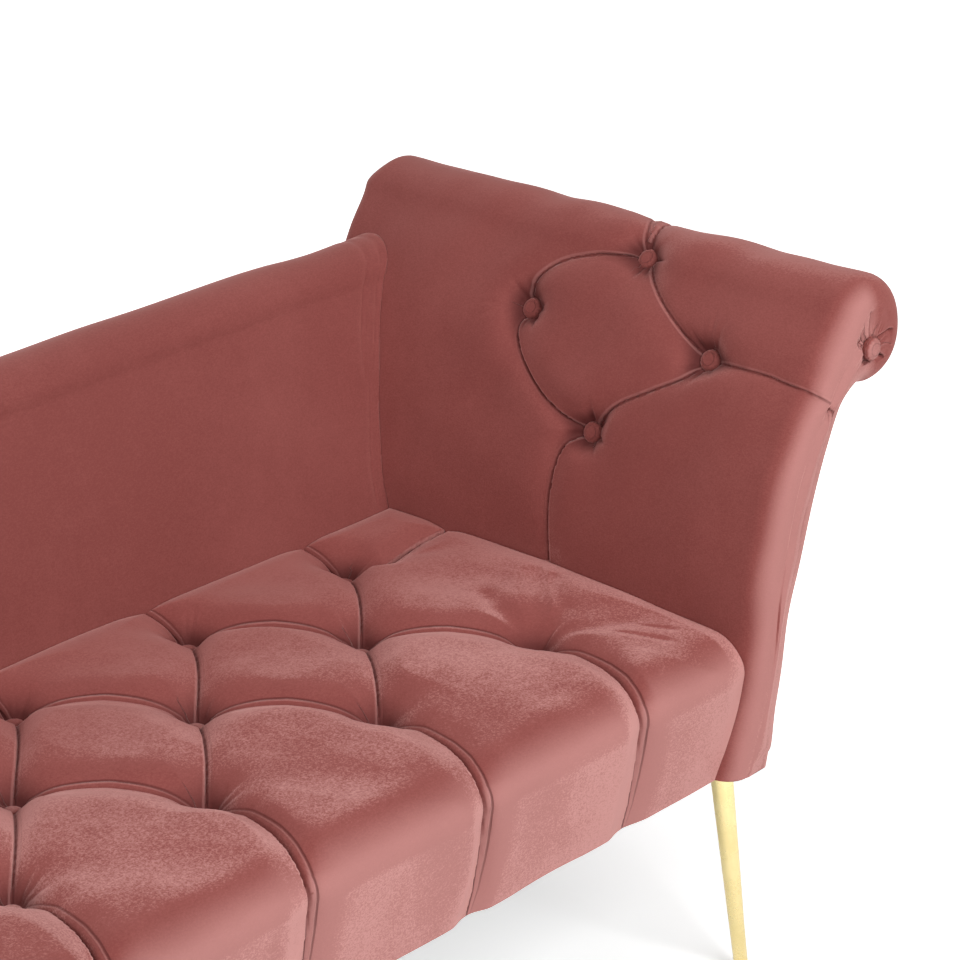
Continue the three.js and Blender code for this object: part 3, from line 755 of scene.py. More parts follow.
def lay_cover(
    a: Grid, b: Grid, folds: Sequence[Fold], buttons: Buttoning | None, swell: Ripples, swell_height: float
) -> Laid:
    """Draws a flat cover in along its folds and at its buttons.

    Args:
        a: First flat coordinate of each vertex.
        b: Second flat coordinate of each vertex.
        folds: The creases and soft folds.
        buttons: The buttons, where it has any.
        swell: Uneven swell of the padding.
        swell_height: Height of that swell.

    Returns:
        The laid cover.
    """
    first = trace_folds(a, b, folds)
    near = np.abs(first.side)
    share = np.clip(near / RELIEF.snap_reach, 0, 1)
    pulled = RELIEF.lip_place + (RELIEF.snap_reach - RELIEF.lip_place) * share**1.5
    pulled = np.where(snapped(first.side), 0, np.where(near < RELIEF.snap_reach, pulled, near))
    move = np.sign(first.side) * (pulled - near) * (first.reach > 0)
    if buttons:
        offset_a, offset_b, _ = buttons.nearest(a, b)
        move = move * smooth((np.hypot(offset_a, offset_b) - 3) / 10)
    a, b = a + first.normal_a * move, b + first.normal_b * move
    found = trace_folds(a, b, folds)
    near = np.abs(found.side)
    strength = np.sqrt(np.clip(found.reach / 2, 0, 1))
    sink = found.sink
    pit = np.zeros(a.shape)
    if buttons:
        depth, pit = buttons.sink(a, b, near)
        sink = depth + sink * (1 - np.minimum(1, pit)) ** 0.8
    lapping = found.side > 0
    lift = RELIEF.lift * strength * cusp(near, RELIEF.lift_width, 1.5)
    notch = np.where(lapping, cusp(near, RELIEF.lip_width, 0.7), cusp(near, RELIEF.under_width, 1.4)) * found.notch
    notch = notch + np.where(lapping, -0.7 * bell(near - 2.8, 1.9) * strength - lift, 0.6 * lift)
    place = RELIEF.strip_start + RELIEF.strip_span * found.arch
    strip = smooth((near - 1.2) / 2.4) * smooth((place + 1 - near) / RELIEF.strip_edge)
    strip = strip - 0.5 * bell(near - place - 1.4, 1.4)
    sink = sink + (notch - np.where(lapping, 0, strip * found.pleat)) * (1 - 0.8 * smooth((pit - 0.35) / 0.5))
    slide = np.where(found.side > 0.05, -found.reach * cusp(near, RELIEF.lap_width, 1.0), 0)
    slide = np.where(near <= 0.05, 0.55 * found.reach, slide)
    slide = slide * (1 - 0.8 * smooth((pit - 0.3) / 0.5))
    swollen = swell_height * swell.at(a, b) * smooth(near / 24)
    return Laid(
        a,
        b,
        sink - swollen * (1 - np.minimum(1, pit)),
        slide * found.normal_a,
        slide * found.normal_b,
        found.side,
        strength * smooth((22 - near) / 7),
        np.minimum(1, found.pleat) * found.arch,
    )


FRONT_DRIFT = ((-38, -463), (-33, -430), (-30, -397), (-27, -345), (-20, -313), (-7, -272), (2, -225))


@dataclass
class SeatCover:
    """Deep-buttoned seat cover: top, front channels, foot end and the part behind the nose of the back."""

    plan: Plan = PLAN
    edge: float = 55.0
    end: float = 48.0
    setback: float = 8.0
    rake: float = 12.0
    dome: float = 8.0
    column_share: float = 0.156
    row_share: float = 0.2643
    first_share: float = 0.0956
    front_row_share: float = 0.3457
    columns: int = 6
    cells: int = 54
    head_run: float = 30.0
    turn_reach: float = 75.0
    nose_x: float = -558.0
    button_depth: float = 43.5
    crease_depth: float = 15.0

    def __post_init__(self) -> None:
        """Works out the rows, the outline and the buttons."""
        plan = self.plan
        self.row_pitch = plan.seat_depth * self.row_share
        self.column_pitch = plan.seat_length * self.column_share
        self.rows = [plan.front_y + plan.seat_depth * self.front_row_share + i * self.row_pitch for i in range(3)]
        self.first_x = plan.arm_x - plan.seat_length * self.first_share
        front, rear = plan.front_y + self.setback, plan.rear_y
        shoulder = plan.crown - self.edge
        turn = np.linspace(0, QUARTER, 30)
        tops = np.linspace(front + self.edge, rear - self.edge, 120)[1:-1]
        down = np.linspace(0, 1, 20)
        outline = [(front + self.rake * (1 - t), plan.underside + (shoulder - plan.underside) * t) for t in down]
        outline += [(front + self.edge * (1 - np.cos(t)), shoulder + self.edge * np.sin(t)) for t in turn[1:]]
        outline += [(y, plan.crown) for y in tops]
        outline += [(rear - self.edge * (1 - np.cos(t)), shoulder + self.edge * np.sin(t)) for t in turn[::-1]]
        outline += [(rear, shoulder + (plan.underside - shoulder) * t) for t in down[1:]]
        outline = np.array(outline)
        reach = rear - self.edge - self.rows[1]
        lowered = self.dome * np.clip(np.abs(outline[:, 0] - self.rows[1]) / reach, 0, 1) ** 2
        outline[:, 1] -= lowered * smooth((outline[:, 1] - shoulder) / self.edge)
        zero = int(np.argmin(np.abs(outline[:, 0] - self.rows[1]) + (outline[:, 1] < shoulder) * 1e3))
        self.path = Path(outline, zero, 1.5)
        self.path.runs += outline[zero, 0]
        self.grid_places = [
            [(self.first_x - (i + shift) * self.column_pitch, y) for i in range(self.columns - (shift > 0))]
            for shift, y in zip((0, 0.5, 0), self.rows)
        ]

    @property
    def places(self) -> list[Flat]:
        """Flat places of the buttons, row by row."""
        return [place for row in self.grid_places for place in row]

    def creases(self) -> list[Fold]:
        """Creases between the buttons, over the edges and to the arm, with the soft folds beside the arm."""
        plan = self.plan
        front, middle, rear = self.grid_places
        start, end = self.path.runs[0], self.path.runs[-1]
        folds = []

        def crease(*line: Flat, lap: float = 1.8, pleat: float = 1.7, notch: float = 4.6) -> None:
            """Adds one crease."""
            folds.append(Fold(tuple(line), self.crease_depth, 47.0, lap, pleat, notch))

        draw = np.random.default_rng(4)

        def bowed(first: Flat, last: Flat, bow: float) -> list[Flat]:
            """Points of a slightly bowed line."""
            bow += draw.uniform(-1.5, 1.5)
            shares = np.linspace(0, 1, 9)
            step_a, step_b = last[0] - first[0], last[1] - first[1]
            size = math.hypot(step_a, step_b)
            lift = bow * np.sin(np.pi * shares)
            return [
                (first[0] + step_a * t - step_b / size * h, first[1] + step_b * t + step_a / size * h)
                for t, h in zip(shares, lift)
            ]

        for i, button in enumerate(middle):
            crease(*bowed(front[i], button, -2))
            crease(*bowed(button, rear[i + 1], -2))
            crease(*bowed(front[i + 1], button, -6), lap=0.5, pleat=0.3, notch=2.6)
            crease(*bowed(button, rear[i], -6), lap=0.5, pleat=0.3, notch=2.6)
        for x, y in front:
            crease(*((x + shift, run) for shift, run in ((-46, start), *FRONT_DRIFT, (0, y))), lap=1.5)
        for x, y in rear:
            crease((x, y), (x, end), lap=1.4)
        flat_end = plan.foot_x + self.end * (1 - QUARTER)
        for row in (front, rear):
            x, y = row[-1]
            crease((x, y), (flat_end, y), lap=1.2, pleat=0.8)
        front_x, front_y = front[0]
        rear_x, rear_y = rear[0]
        crease((rear_x, rear_y), (517, 77), (585, 87), (plan.arm_x + 20, 92), lap=1.4)
        soft = [
            (((front_x, front_y), (499, -110), (512, -78), (514, -49)), 4.5, 26.0, 40.0),
            (((front_x, front_y), (552, -122), (596, -79), (632, -52)), 4.5, 30.0, 30.0),
            (((front_x, front_y), (549, -157), (583, -112), (626, -84)), 3.5, 26.0, 30.0),
            (((539, -229), (560, -268), (578, -300)), 1.6, 10.0, 24.0),
            (((560, -215), (580, -250), (600, -285)), 1.4, 9.0, 24.0),
            (((front_x, front_y), (540, -215), (600, -240)), 2.4, 30.0, 40.0),
            (((rear_x, rear_y), (540, 60), (590, 30)), 2.6, 28.0, 40.0),
        ]
        for line, depth, width, fade in soft:
            folds.append(Fold(line, depth, width, fade_end=fade, fade_start=10.0, round_shape=True))
        return folds

    def spread(self, x: Grid, run: Grid, sink: Grid, inset: Grid, grow: float) -> Grid:
        """Places the flat cover in the room.

        Args:
            x: Place along the couch.
            run: Length along the outline.
            sink: How far each point is drawn in.
            inset: How far the end turn draws the outline in.
            grow: Clearance to add all round.

        Returns:
            Points in millimetres.
        """
        y, z = self.path.place(run)
        out_y, out_z = self.path.normal(run)
        soft_y, soft_z = self.path.soft_normal(run, self.turn_reach)
        y, z = y + out_y * (grow - sink) - soft_y * inset, z + out_z * (grow - sink) - soft_z * inset
        return np.stack([x, y, np.maximum(z, self.plan.underside)], -1)

    def solid(self, grow: float = 0.0) -> Piece:
        """Makes the closed, uncut cover."""
        plan, path = self.plan, self.path
        step_x, step_r = self.column_pitch / 2 / self.cells, self.row_pitch / self.cells
        low_x, high_x = plan.foot_x + self.end, plan.arm_x + self.head_run
        count_low = int((self.first_x - low_x) / step_x)
        count_high = int((high_x - self.first_x) / step_x)
        xs = self.first_x + step_x * np.arange(-count_low, count_high + 1)
        rs = self.rows[1] + step_r * np.arange(
            math.ceil((path.runs[0] - self.rows[1]) / step_r + 0.5),
            math.floor((path.runs[-1] - self.rows[1]) / step_r - 0.5) + 1,
        )
        rs = np.concatenate([[path.runs[0]], rs, [path.runs[-1]]])
        angles = np.linspace(0, QUARTER, 21)[:-1]
        flat_x = np.concatenate([low_x - self.end * (QUARTER - angles), xs])
        real_x = np.concatenate([plan.foot_x + self.end * (1 - np.cos(angles)), xs])
        inset = np.concatenate([self.end * (1 - np.sin(angles)), np.zeros(len(xs))])
        a, b = np.meshgrid(flat_x, rs, indexing="ij")
        laid = lay_cover(a, b, self.creases(), self.buttoning(), Ripples(11, 320, 70), 1.5)
        junction = 13.0 * cusp(np.abs(plan.arm_x + 7 - laid.a), 52, 2.2)
        behind = 13.0 * cusp(np.abs(laid.b - plan.back_y - 7), 52, 2.2) * smooth((laid.a - self.nose_x - 30) / 40)
        edge = np.maximum(junction, behind)
        laid.sink = np.maximum(laid.sink, edge + 0.35 * np.minimum(laid.sink, 30))
        height = self.path.place(laid.b)[1]
        cushion = 7.0 + 0.09 * (height - plan.underside) + 60 * smooth((height - 345) / 60)
        laid.sink = cushion * np.tanh(laid.sink / cushion)
        moved_a, moved_b = laid.a + laid.slide_a, np.clip(laid.b + laid.slide_b, path.runs[0], path.runs[-1])
        x = np.interp(moved_a, flat_x, real_x)
        insets = np.interp(moved_a, flat_x, inset)
        easing = np.interp(moved_a, flat_x, np.concatenate([np.linspace(0.0, 1, 20), np.ones(len(xs))]))
        points = self.spread(x, moved_b, laid.sink * easing, insets, grow)
        points[:, 0, 2] = points[:, -1, 2] = plan.underside
        shell = Shell()
        body = shell.grid(points, laid.lay, laid.fold)
        shell.faces(body, np.abs(laid.side))
        self.foot_cap(shell, body, points)
        shell.strip(body[:, 0], body[:, -1])
        middle = np.array([[[plan.arm_x + self.head_run, points[-1, :, 1].mean(), plan.underside + 20]]])
        hub = shell.grid(middle, np.zeros((1, 1, 3)), np.full((1, 1, 3), 99.0))[0, 0]
        shell.fan(hub, np.concatenate([body[-1, :], body[-1, :1]]))
        return shell.build("seat_room" if grow else "seat_cover")

    def foot_cap(self, shell: Shell, body: Grid, points: Grid) -> None:
        """Adds the foot end, from the turned edge down to the underside."""
        plan = self.plan
        ring = points[0]
        count = len(ring)
        along = np.linspace(0, 1, count)
        foot_y = ring[0, 1] + (ring[-1, 1] - ring[0, 1]) * along
        foot = np.stack([np.full(count, ring[0, 0]), foot_y, np.full(count, plan.underside)], 1)
        shares = np.linspace(0, 1, 56)[1:]
        cap = ring[None] + (foot - ring)[None] * shares[:, None, None]
        folds = [
            Fold(((y, plan.underside - 5), (y, plan.crown - self.end)), 6.0, 30.0, 1.0, 0.6, 3.0, fade_end=40.0)
            for y in (self.rows[0], self.rows[2])
        ]
        laid = lay_cover(cap[..., 1], cap[..., 2], folds, None, Ripples(3, 200, 60), 1.0)
        rim = np.minimum(
            plan.crown - self.end - cap[..., 2],
            np.minimum(cap[..., 1] - ring[0, 1], ring[-1, 1] - cap[..., 1]),
        )
        bulge = 7.0 * smooth(np.clip(rim, 0, 90) / 90) + 0.004 * np.clip(rim, 0, 300)
        cap[..., 1] = laid.a + laid.slide_a
        cap[..., 2] = np.maximum(laid.b + laid.slide_b, plan.underside)
        cap[-1, :, 2] = plan.underside
        cap[..., 0] -= np.maximum(bulge - laid.sink * smooth(rim / 14), -4 * smooth(rim / 30))
        cap[-1, :, 0] = ring[0, 0] - 3.0 * np.sin(np.pi * along) - 0.02
        cap[:, 0], cap[:, -1] = ring[0], ring[-1]
        inner = shell.grid(cap[:, 1:-1], laid.lay[:, 1:-1], laid.fold[:, 1:-1])
        ends = np.ones((len(cap), 1), int)
        numbers = np.concatenate([ends * body[0, 0], inner, ends * body[0, -1]], axis=1)
        numbers = np.concatenate([numbers[::-1], body[:1]])
        near = np.concatenate([np.abs(laid.side)[::-1], np.full((1, count), 50.0)])
        shell.faces(numbers, near)
        shell.fan(body[0, 0], numbers[0, 1:][::-1])

    def buttoning(self) -> Buttoning:
        """How the seat's buttons pull the cover in."""
        gather = {"gather_depth": 2.2, "gather_reach": 50.0, "gathers": 13}
        return Buttoning(tuple(self.places), self.button_depth, 20.0, 54.0, 0.36, seat_drop=4.0, **gather)


ARM_INNER = (
    (-1, -0.174), (-0.48, -0.06), (-0.05, 0), (0.15, 0.012), (0.3, 0.052),
    (0.447, 0.118), (0.545, 0.177), (0.643, 0.25), (0.74, 0.34), (0.82, 0.42),
)
ARM_OUTER = (
    (0.651, 0.628), (0.62, 0.579), (0.52, 0.512), (0.349, 0.405), (0.134, 0.314),
    (0, 0.27), (-0.57, 0.21), (-0.88, 0.19), (-0.96, 0.165), (-1, 0.13),
)


@dataclass
class ArmCover:
    """Scrolled arm cover: buttoned inner face, rolled top, plain outer face, gathered front and plain rear."""

    plan: Plan = PLAN
    scroll: float = 60.0
    edge: float = 28.0
    rear_edge: float = 16.0
    rear_edge_floor: float = 560.0
    rear_draw: float = 15.0
    rear_draw_floor: float = 750.0
    diamond_share: float = 0.404
    half_share: float = 0.1814
    button_depth: float = 26.5
    crease_depth: float = 8.0
    cells: int = 46
    rosette: Flat = (805.0, 705.2)
    pad: float = 30.0
    scroll_pad: float = 16.0
    outer_pad: float = 5.7

    def __post_init__(self) -> None:
        """Works out the outline and the buttons."""
        plan = self.plan
        self.scroll_x = plan.head_x - self.scroll
        self.scroll_z = plan.seat_height + plan.arm_rise - self.scroll

        def at(level: float, face: float) -> Flat:
            """Point of the outline from its shares of the arm's height and reach."""
            scale = plan.seat_height - plan.underside if level < 0 else plan.arm_rise
            return plan.arm_x + plan.arm_reach * face, plan.seat_height + level * scale

        arc = np.radians(155 - 20 * np.arange(14))
        around = np.stack([self.scroll_x + self.scroll * np.cos(arc), self.scroll_z + self.scroll * np.sin(arc)], 1)
        self.corners = np.array([*(at(*p) for p in ARM_INNER), *around, *(at(*p) for p in ARM_OUTER)])
        self.path = Path(self.corners, 2)
        self.along = (plan.platform_depth * self.diamond_share, plan.platform_depth * self.half_share)

    @staticmethod
    def turn_inset(away: Grid, radius: float) -> Grid:
        """How far a rounded end draws the outline in, at a distance from its face."""
        return radius * (1 - np.sqrt(1 - np.clip(1 - away / radius, 0, 1) ** 2))

    def inner_face(self, z: Grid) -> Grid:
        """Place of the arm's inner face at a height."""
        last = int(np.argmin(np.abs(self.path.runs - self.path.marks[12])))
        return np.interp(z, self.path.points[:last, 1], self.path.points[:last, 0])

    def depth_at(self, along: Grid, z: Grid) -> Grid:
        """Place in depth at a distance from the front, leaning with the rear."""
        return self.plan.front_y + along / self.plan.platform_depth * (self.plan.rear_at(z) - self.plan.front_y)

    @property
    def places(self) -> list[Flat]:
        """Flat places of the buttons: length along the outline and distance from the front."""
        low, middle, high = (self.path.marks[i] for i in (5, 8, 11))
        centre, half = self.along
        return [(low, centre), (middle, centre - half), (middle, centre + half), (high, centre)]

    def folds(self) -> list[Fold]:
        """Creases of the diamond, down to the seat, over the roll and to the front edge, with fine pleats."""
        low, front, rear, high = self.places
        centre = self.along[0]
        depth, width = self.crease_depth, 46.0
        lines = [
            (rear, (300.5, 388), (325, 381), (351, 356), (366.5, 322), (375, 290), high),
            (rear, (264, 388), (233.5, 369), (205, 339), (185, 306), low),
            (low, (207, 235), (234.5, 196), (259, 164), front),
            (front, (297, 164), (314, 191), (338, 222), (365, 250), high),
            (low, (152, 289), (125, 297), (83, 301), (51, 301), (-60, 302)),
            (front, (288, 101), (288, 63), (285, 34), (282, -31)),
        ]
        folds = [Fold(rounded(line), depth, width, 0.5, 0.2, 1.4) for line in lines[:-1]]
        folds.append(Fold(rounded(lines[-1]), depth, width, 0.4, 0.1, 1.0, fade_end=30.0))
        over = self.path.marks[16]
        for shift, spread, strong in ((3, 16, 1.0), (15, 32, 0.7)):
            start, bend = (high[0] + 4, centre + shift * 0.2), (high[0] + 40, centre + shift)
            line = (start, bend, (over, centre + shift + spread))
            folds.append(Fold(line, depth * 0.75 * strong, 30.0, 0.5 * strong, 0.2, 1.4 * strong, fade_end=55.0))
        fans = [
            (rear, (-1, 1), 0.55, 5, 60), (high, (-1, -1), 0.5, 5, 46),
            (front, (1, 0.15), 0.5, 4, 58), (low, (1, 0), 0.45, 3, 50),
        ]
        for (run, along), (lean_a, lean_b), open_angle, lines, length in fans:
            middle = math.atan2(lean_b, lean_a)
            for k in range(lines):
                angle = middle + (k / (lines - 1) - 0.5) * 2 * open_angle
                end = (run + length * math.cos(angle), along + length * math.sin(angle))
                start = (run + 10 * math.cos(angle), along + 10 * math.sin(angle))
                folds.append(Fold((start, end), 2.4, 4.6, fade_start=8.0, fade_end=length * 0.6, round_shape=True))
        return folds

    def front_folds(self) -> list[Fold]:
        """Pleats and gathers on the front face, in its plane."""
        pleats = [
            (((791, 716), (777, 742), (755, 764)), 2.6, 15.0, 1.2, 0.9),
            (((785, 711), (768, 736), (748, 756)), 1.4, 8.0, 0.8, 0.0),
            (((799, 724), (803, 744), (797, 776)), 2.4, 12.0, 1.2, 0.0),
            (((816, 716), (838, 718), (864, 713)), 2.4, 12.0, 1.0, 0.0),
            (((816, 700), (830, 690), (850, 670)), 2.6, 14.0, 1.2, 0.0),
            (((797, 696), (797, 676), (784, 650)), 2.8, 12.0, 1.2, 0.0),
            (((801, 694), (803, 675), (787, 652)), 1.8, 7.0, 0.9, 0.0),
            (((806, 692), (809, 675), (791, 654)), 1.6, 7.0, 0.8, 0.0),
        ]
        folds = [
            Fold(line, 1.3 * depth, width, 0.5 * lap, 0.3 * strip, 1.0, fade_end=20.0)
            for line, depth, width, lap, strip in pleats
        ]
        band = ((700, 681), (709, 676), (729, 661), (762, 640))
        folds.append(Fold(band, 3.6, 24.0, 0.5, 0.3, 1.0, 12.0, 16.0))
        centre_x, centre_z = self.rosette
        draw = np.random.default_rng(5)
        for angle in np.radians([95, 84, 76, 68, 60, 52, 43, 33, 22, 8, -14, -30, -62, -84, -130, -160, 165]):
            size = draw.uniform(26, 44)
            start = (centre_x + 11 * math.cos(angle), centre_z + 11 * math.sin(angle))
            end = (centre_x + size * math.cos(angle + 0.1), centre_z + size * math.sin(angle + 0.1))
            folds.append(Fold((start, end), 1.9, 4.6, fade_start=5.0, fade_end=size * 0.5, round_shape=True))
        return folds

    def solid(self, grow: float = 0.0) -> Piece:
        """Makes the closed cover before its hollow is cut."""
        plan, path = self.plan, self.path
        marks = path.marks
        anchors = [path.runs[0], 0.0, marks[5], marks[8], marks[11], marks[22], path.runs[-1]]
        counts = [56, 64, self.cells, self.cells, round((marks[22] - marks[11]) / 2.9), 130]
        runs = np.concatenate(
            [np.linspace(s, e, n, endpoint=False) for s, e, n in zip(anchors, anchors[1:], counts)] + [anchors[-1:]]
        )
        centre, half = self.along
        step = half / self.cells
        low, high = self.edge, plan.platform_depth - self.edge
        alongs = centre + step * np.arange(math.ceil((low - centre) / step), math.floor((high - centre) / step) + 1)
        angles = np.linspace(0, QUARTER, 13)[:-1]
        head, drawn = self.edge * (1 - np.cos(angles)), self.edge * (1 - np.sin(angles))
        turn = self.edge * (QUARTER - angles)
        flat = np.concatenate([alongs[0] - turn, alongs, (alongs[-1] + turn)[::-1]])
        real = np.concatenate([head, alongs, (plan.platform_depth - head)[::-1]])
        inset = np.concatenate([drawn, np.zeros(len(alongs)), drawn[::-1]])
        b, a = np.meshgrid(flat, runs, indexing="ij")
        gather = {"gather_depth": 2.8, "gather_reach": 44.0, "gathers": 15, "seed": 9}
        seat = {"seat_radius": 12.0, "seat_drop": 3.0}
        buttons = Buttoning(tuple(self.places), self.button_depth, 17.0, 36.0, 0.46, **seat, **gather)
        laid = lay_cover(a, b, self.folds(), buttons, Ripples(21, 260, 60), 1.4)
        moved = np.clip(laid.a + laid.slide_a, path.runs[0], path.runs[-1])
        shift = np.clip(laid.b + laid.slide_b, flat[0], flat[-1])
        along = np.interp(shift, flat, real)
        insets = np.interp(shift, flat, inset)
        x, z = path.place(moved)
        out_x, out_z = path.normal(moved)
        from_rear = plan.platform_depth - along
        rounder = self.turn_inset(from_rear, self.rear_edge) - self.turn_inset(from_rear, self.edge)
        insets = insets + rounder * smooth((z - self.rear_edge_floor) / 110)
        away = grow - laid.sink * smooth((z - plan.underside) / 30) - insets
        x, z = x + out_x * away, np.maximum(z + out_z * away, plan.underside)
        y = self.depth_at(along, z)
        y = y - self.rear_draw * smooth((z - self.rear_draw_floor) / 30) * np.clip(1 - from_rear / 220, 0, 1) ** 2
        y[0] -= grow
        y[-1] += grow
        points = np.stack([x, y, z], -1)
        points[:, 0, 2] = points[:, -1, 2] = plan.underside
        shell = Shell()
        # The depth in lay is taken 2.1 times, so that the painted shade in the arm's pits is darker.
        body = shell.grid(points, laid.lay * (1, 1, 2.1), laid.fold)
        shell.faces(body, np.abs(laid.side))
        below = sum(counts[:4]), sum(counts[:5])
        for end, outward in ((0, -1), (-1, 1)):
            self.end_cap(shell, body[end], points[end], below, outward)
        shell.strip(body[:, 0], body[:, -1])
        return shell.build("arm_room" if grow else "arm_cover")

    def medial(self, ring: Grid, inner_end: int, outer_start: int) -> tuple[Grid, Grid]:
        """Line down the middle of an end face, to which its cap runs.

        Args:
            ring: Points round the end face.
            inner_end: Last point of the inner side, below the scroll.
            outer_start: First point of the outer side, below the scroll.

        Returns:
            The middle points, and for each point of the ring the number of its middle point.
        """
        index = np.full(len(ring), min(inner_end, len(ring) - 1 - outer_start))
        steps = index[0]
        shares = np.arange(steps + 1) / steps
        lines = []
        for side, numbers in (
            (ring[: inner_end + 1], index[: inner_end + 1]),
            (ring[outer_start:][::-1], index[outer_start:][::-1]),
        ):
            share = np.arange(len(side)) / (len(side) - 1)
            numbers[:] = np.round(share * steps)
            lines.append(np.stack([np.interp(shares, share, side[:, k]) for k in range(3)], 1))
        middle = (lines[0] + lines[1]) / 2
        hub = np.array([self.rosette[0], ring[inner_end : outer_start + 1, 1].mean(), self.rosette[1]])
        pull = smooth((shares - 0.78) / 0.22)[:, None]
        middle = middle * (1 - pull) + hub * pull
        middle[:, 2] = np.maximum.accumulate(middle[:, 2])
        middle[0, 2] = self.plan.underside
        return middle, index

    def end_cap(self, shell: Shell, edge: Grid, ring: Grid, below: tuple[int, int], outward: int) -> None:
        """Closes an end of the arm with a padded face, drawn in by the rosette and gathered at the front.

        Args:
            shell: Cover that the face belongs to.
            edge: Vertex numbers round the end.
            ring: Their points.
            below: Last point of the inner side and first point of the outer side below the scroll.
            outward: Direction of the face in depth, -1 for the front.
        """
        middle, index = self.medial(ring, *below)
        folds, buttons = [], None
        if outward < 0:
            folds = self.front_folds()
            gather = {"gather_depth": 0.8, "gather_reach": 34.0, "gathers": 10, "seed": 3}
            buttons = Buttoning((self.rosette,), 5.0, 12.0, 24.0, seat_radius=12.5, seat_drop=2.0, **gather)
        target = middle[index]
        span = np.hypot(*(target - ring)[:, [0, 2]].T)
        shares = np.linspace(0, 1, 45)[1:]
        cap = ring[None] + (target - ring)[None] * shares[:, None, None]
        flat = np.concatenate([cap[:-1].reshape(-1, 3), middle])
        widest = np.zeros(len(middle))
        np.maximum.at(widest, index, span)
        rim = np.concatenate([(shares[:-1, None] * span[None]).ravel(), widest])
        inward = np.concatenate([np.repeat(shares[:-1], len(ring)), np.ones(len(middle))])
        size_here = np.concatenate([np.tile(widest[index], len(shares) - 1), widest])
        laid = lay_cover(flat[:, 0], flat[:, 2], folds, buttons, Ripples(8 + outward, 150, 45), 0.9)
        bulge = np.minimum(4.0, 0.1 * size_here) * smooth(inward)
        bulge = bulge * smooth((flat[:, 2] - self.plan.underside) / 40) + 0.2 * np.minimum(1, 3 * inward)
        depth = bulge - laid.sink * smooth(rim / 6)
        x = laid.a + laid.slide_a * smooth(rim / 6)
        z = np.maximum(laid.b + laid.slide_b * smooth(rim / 6), self.plan.underside)
        points = np.stack([x, flat[:, 1] + outward * depth, z], -1)
        lay = np.stack([laid.a, laid.b + 2000 * outward, laid.sink], -1)
        count = len(ring)
        size = (len(shares) - 1) * count
        inner = shell.grid(*(part[:size].reshape(-1, count, 3) for part in (points, lay, laid.fold)))
        spine = shell.grid(points[size:], lay[size:], laid.fold[size:])
        numbers = np.concatenate([edge[None], inner, spine[index][None]])
        near = np.abs(laid.side)
        near = np.concatenate([np.full((1, count), 50.0), near[:size].reshape(-1, count), near[size:][index][None]])
        order = slice(None, None, -1) if outward < 0 else slice(None)
        shell.faces(numbers[order], near[order])
        chain = np.concatenate([numbers[:, 0], numbers[::-1, -1][1:]])
        chain = chain if outward > 0 else chain[::-1]
        shell.fan(chain[0], chain[1:])

    def core(self, shrink: float, start: float, end: float) -> Piece:
        """The room of the arm's frame inside its padding."""
        pads = np.where(np.arange(len(self.corners)) <= 12, self.pad, self.scroll_pad)
        pads = np.where(np.arange(len(self.corners)) > 23, self.outer_pad, pads)
        amount = np.interp(self.path.runs, self.path.marks, pads) + shrink
        count = len(self.path.points)
        pick = np.unique(np.round(np.linspace(0, count - 1, 220)).astype(int))
        xz = (self.path.points - self.path.normals * amount[:, None])[pick]
        rings = [np.stack([xz[:, 0], self.depth_at(at, xz[:, 1]), xz[:, 1]], 1) for at in (start, end)]
        return loft_room(rings)


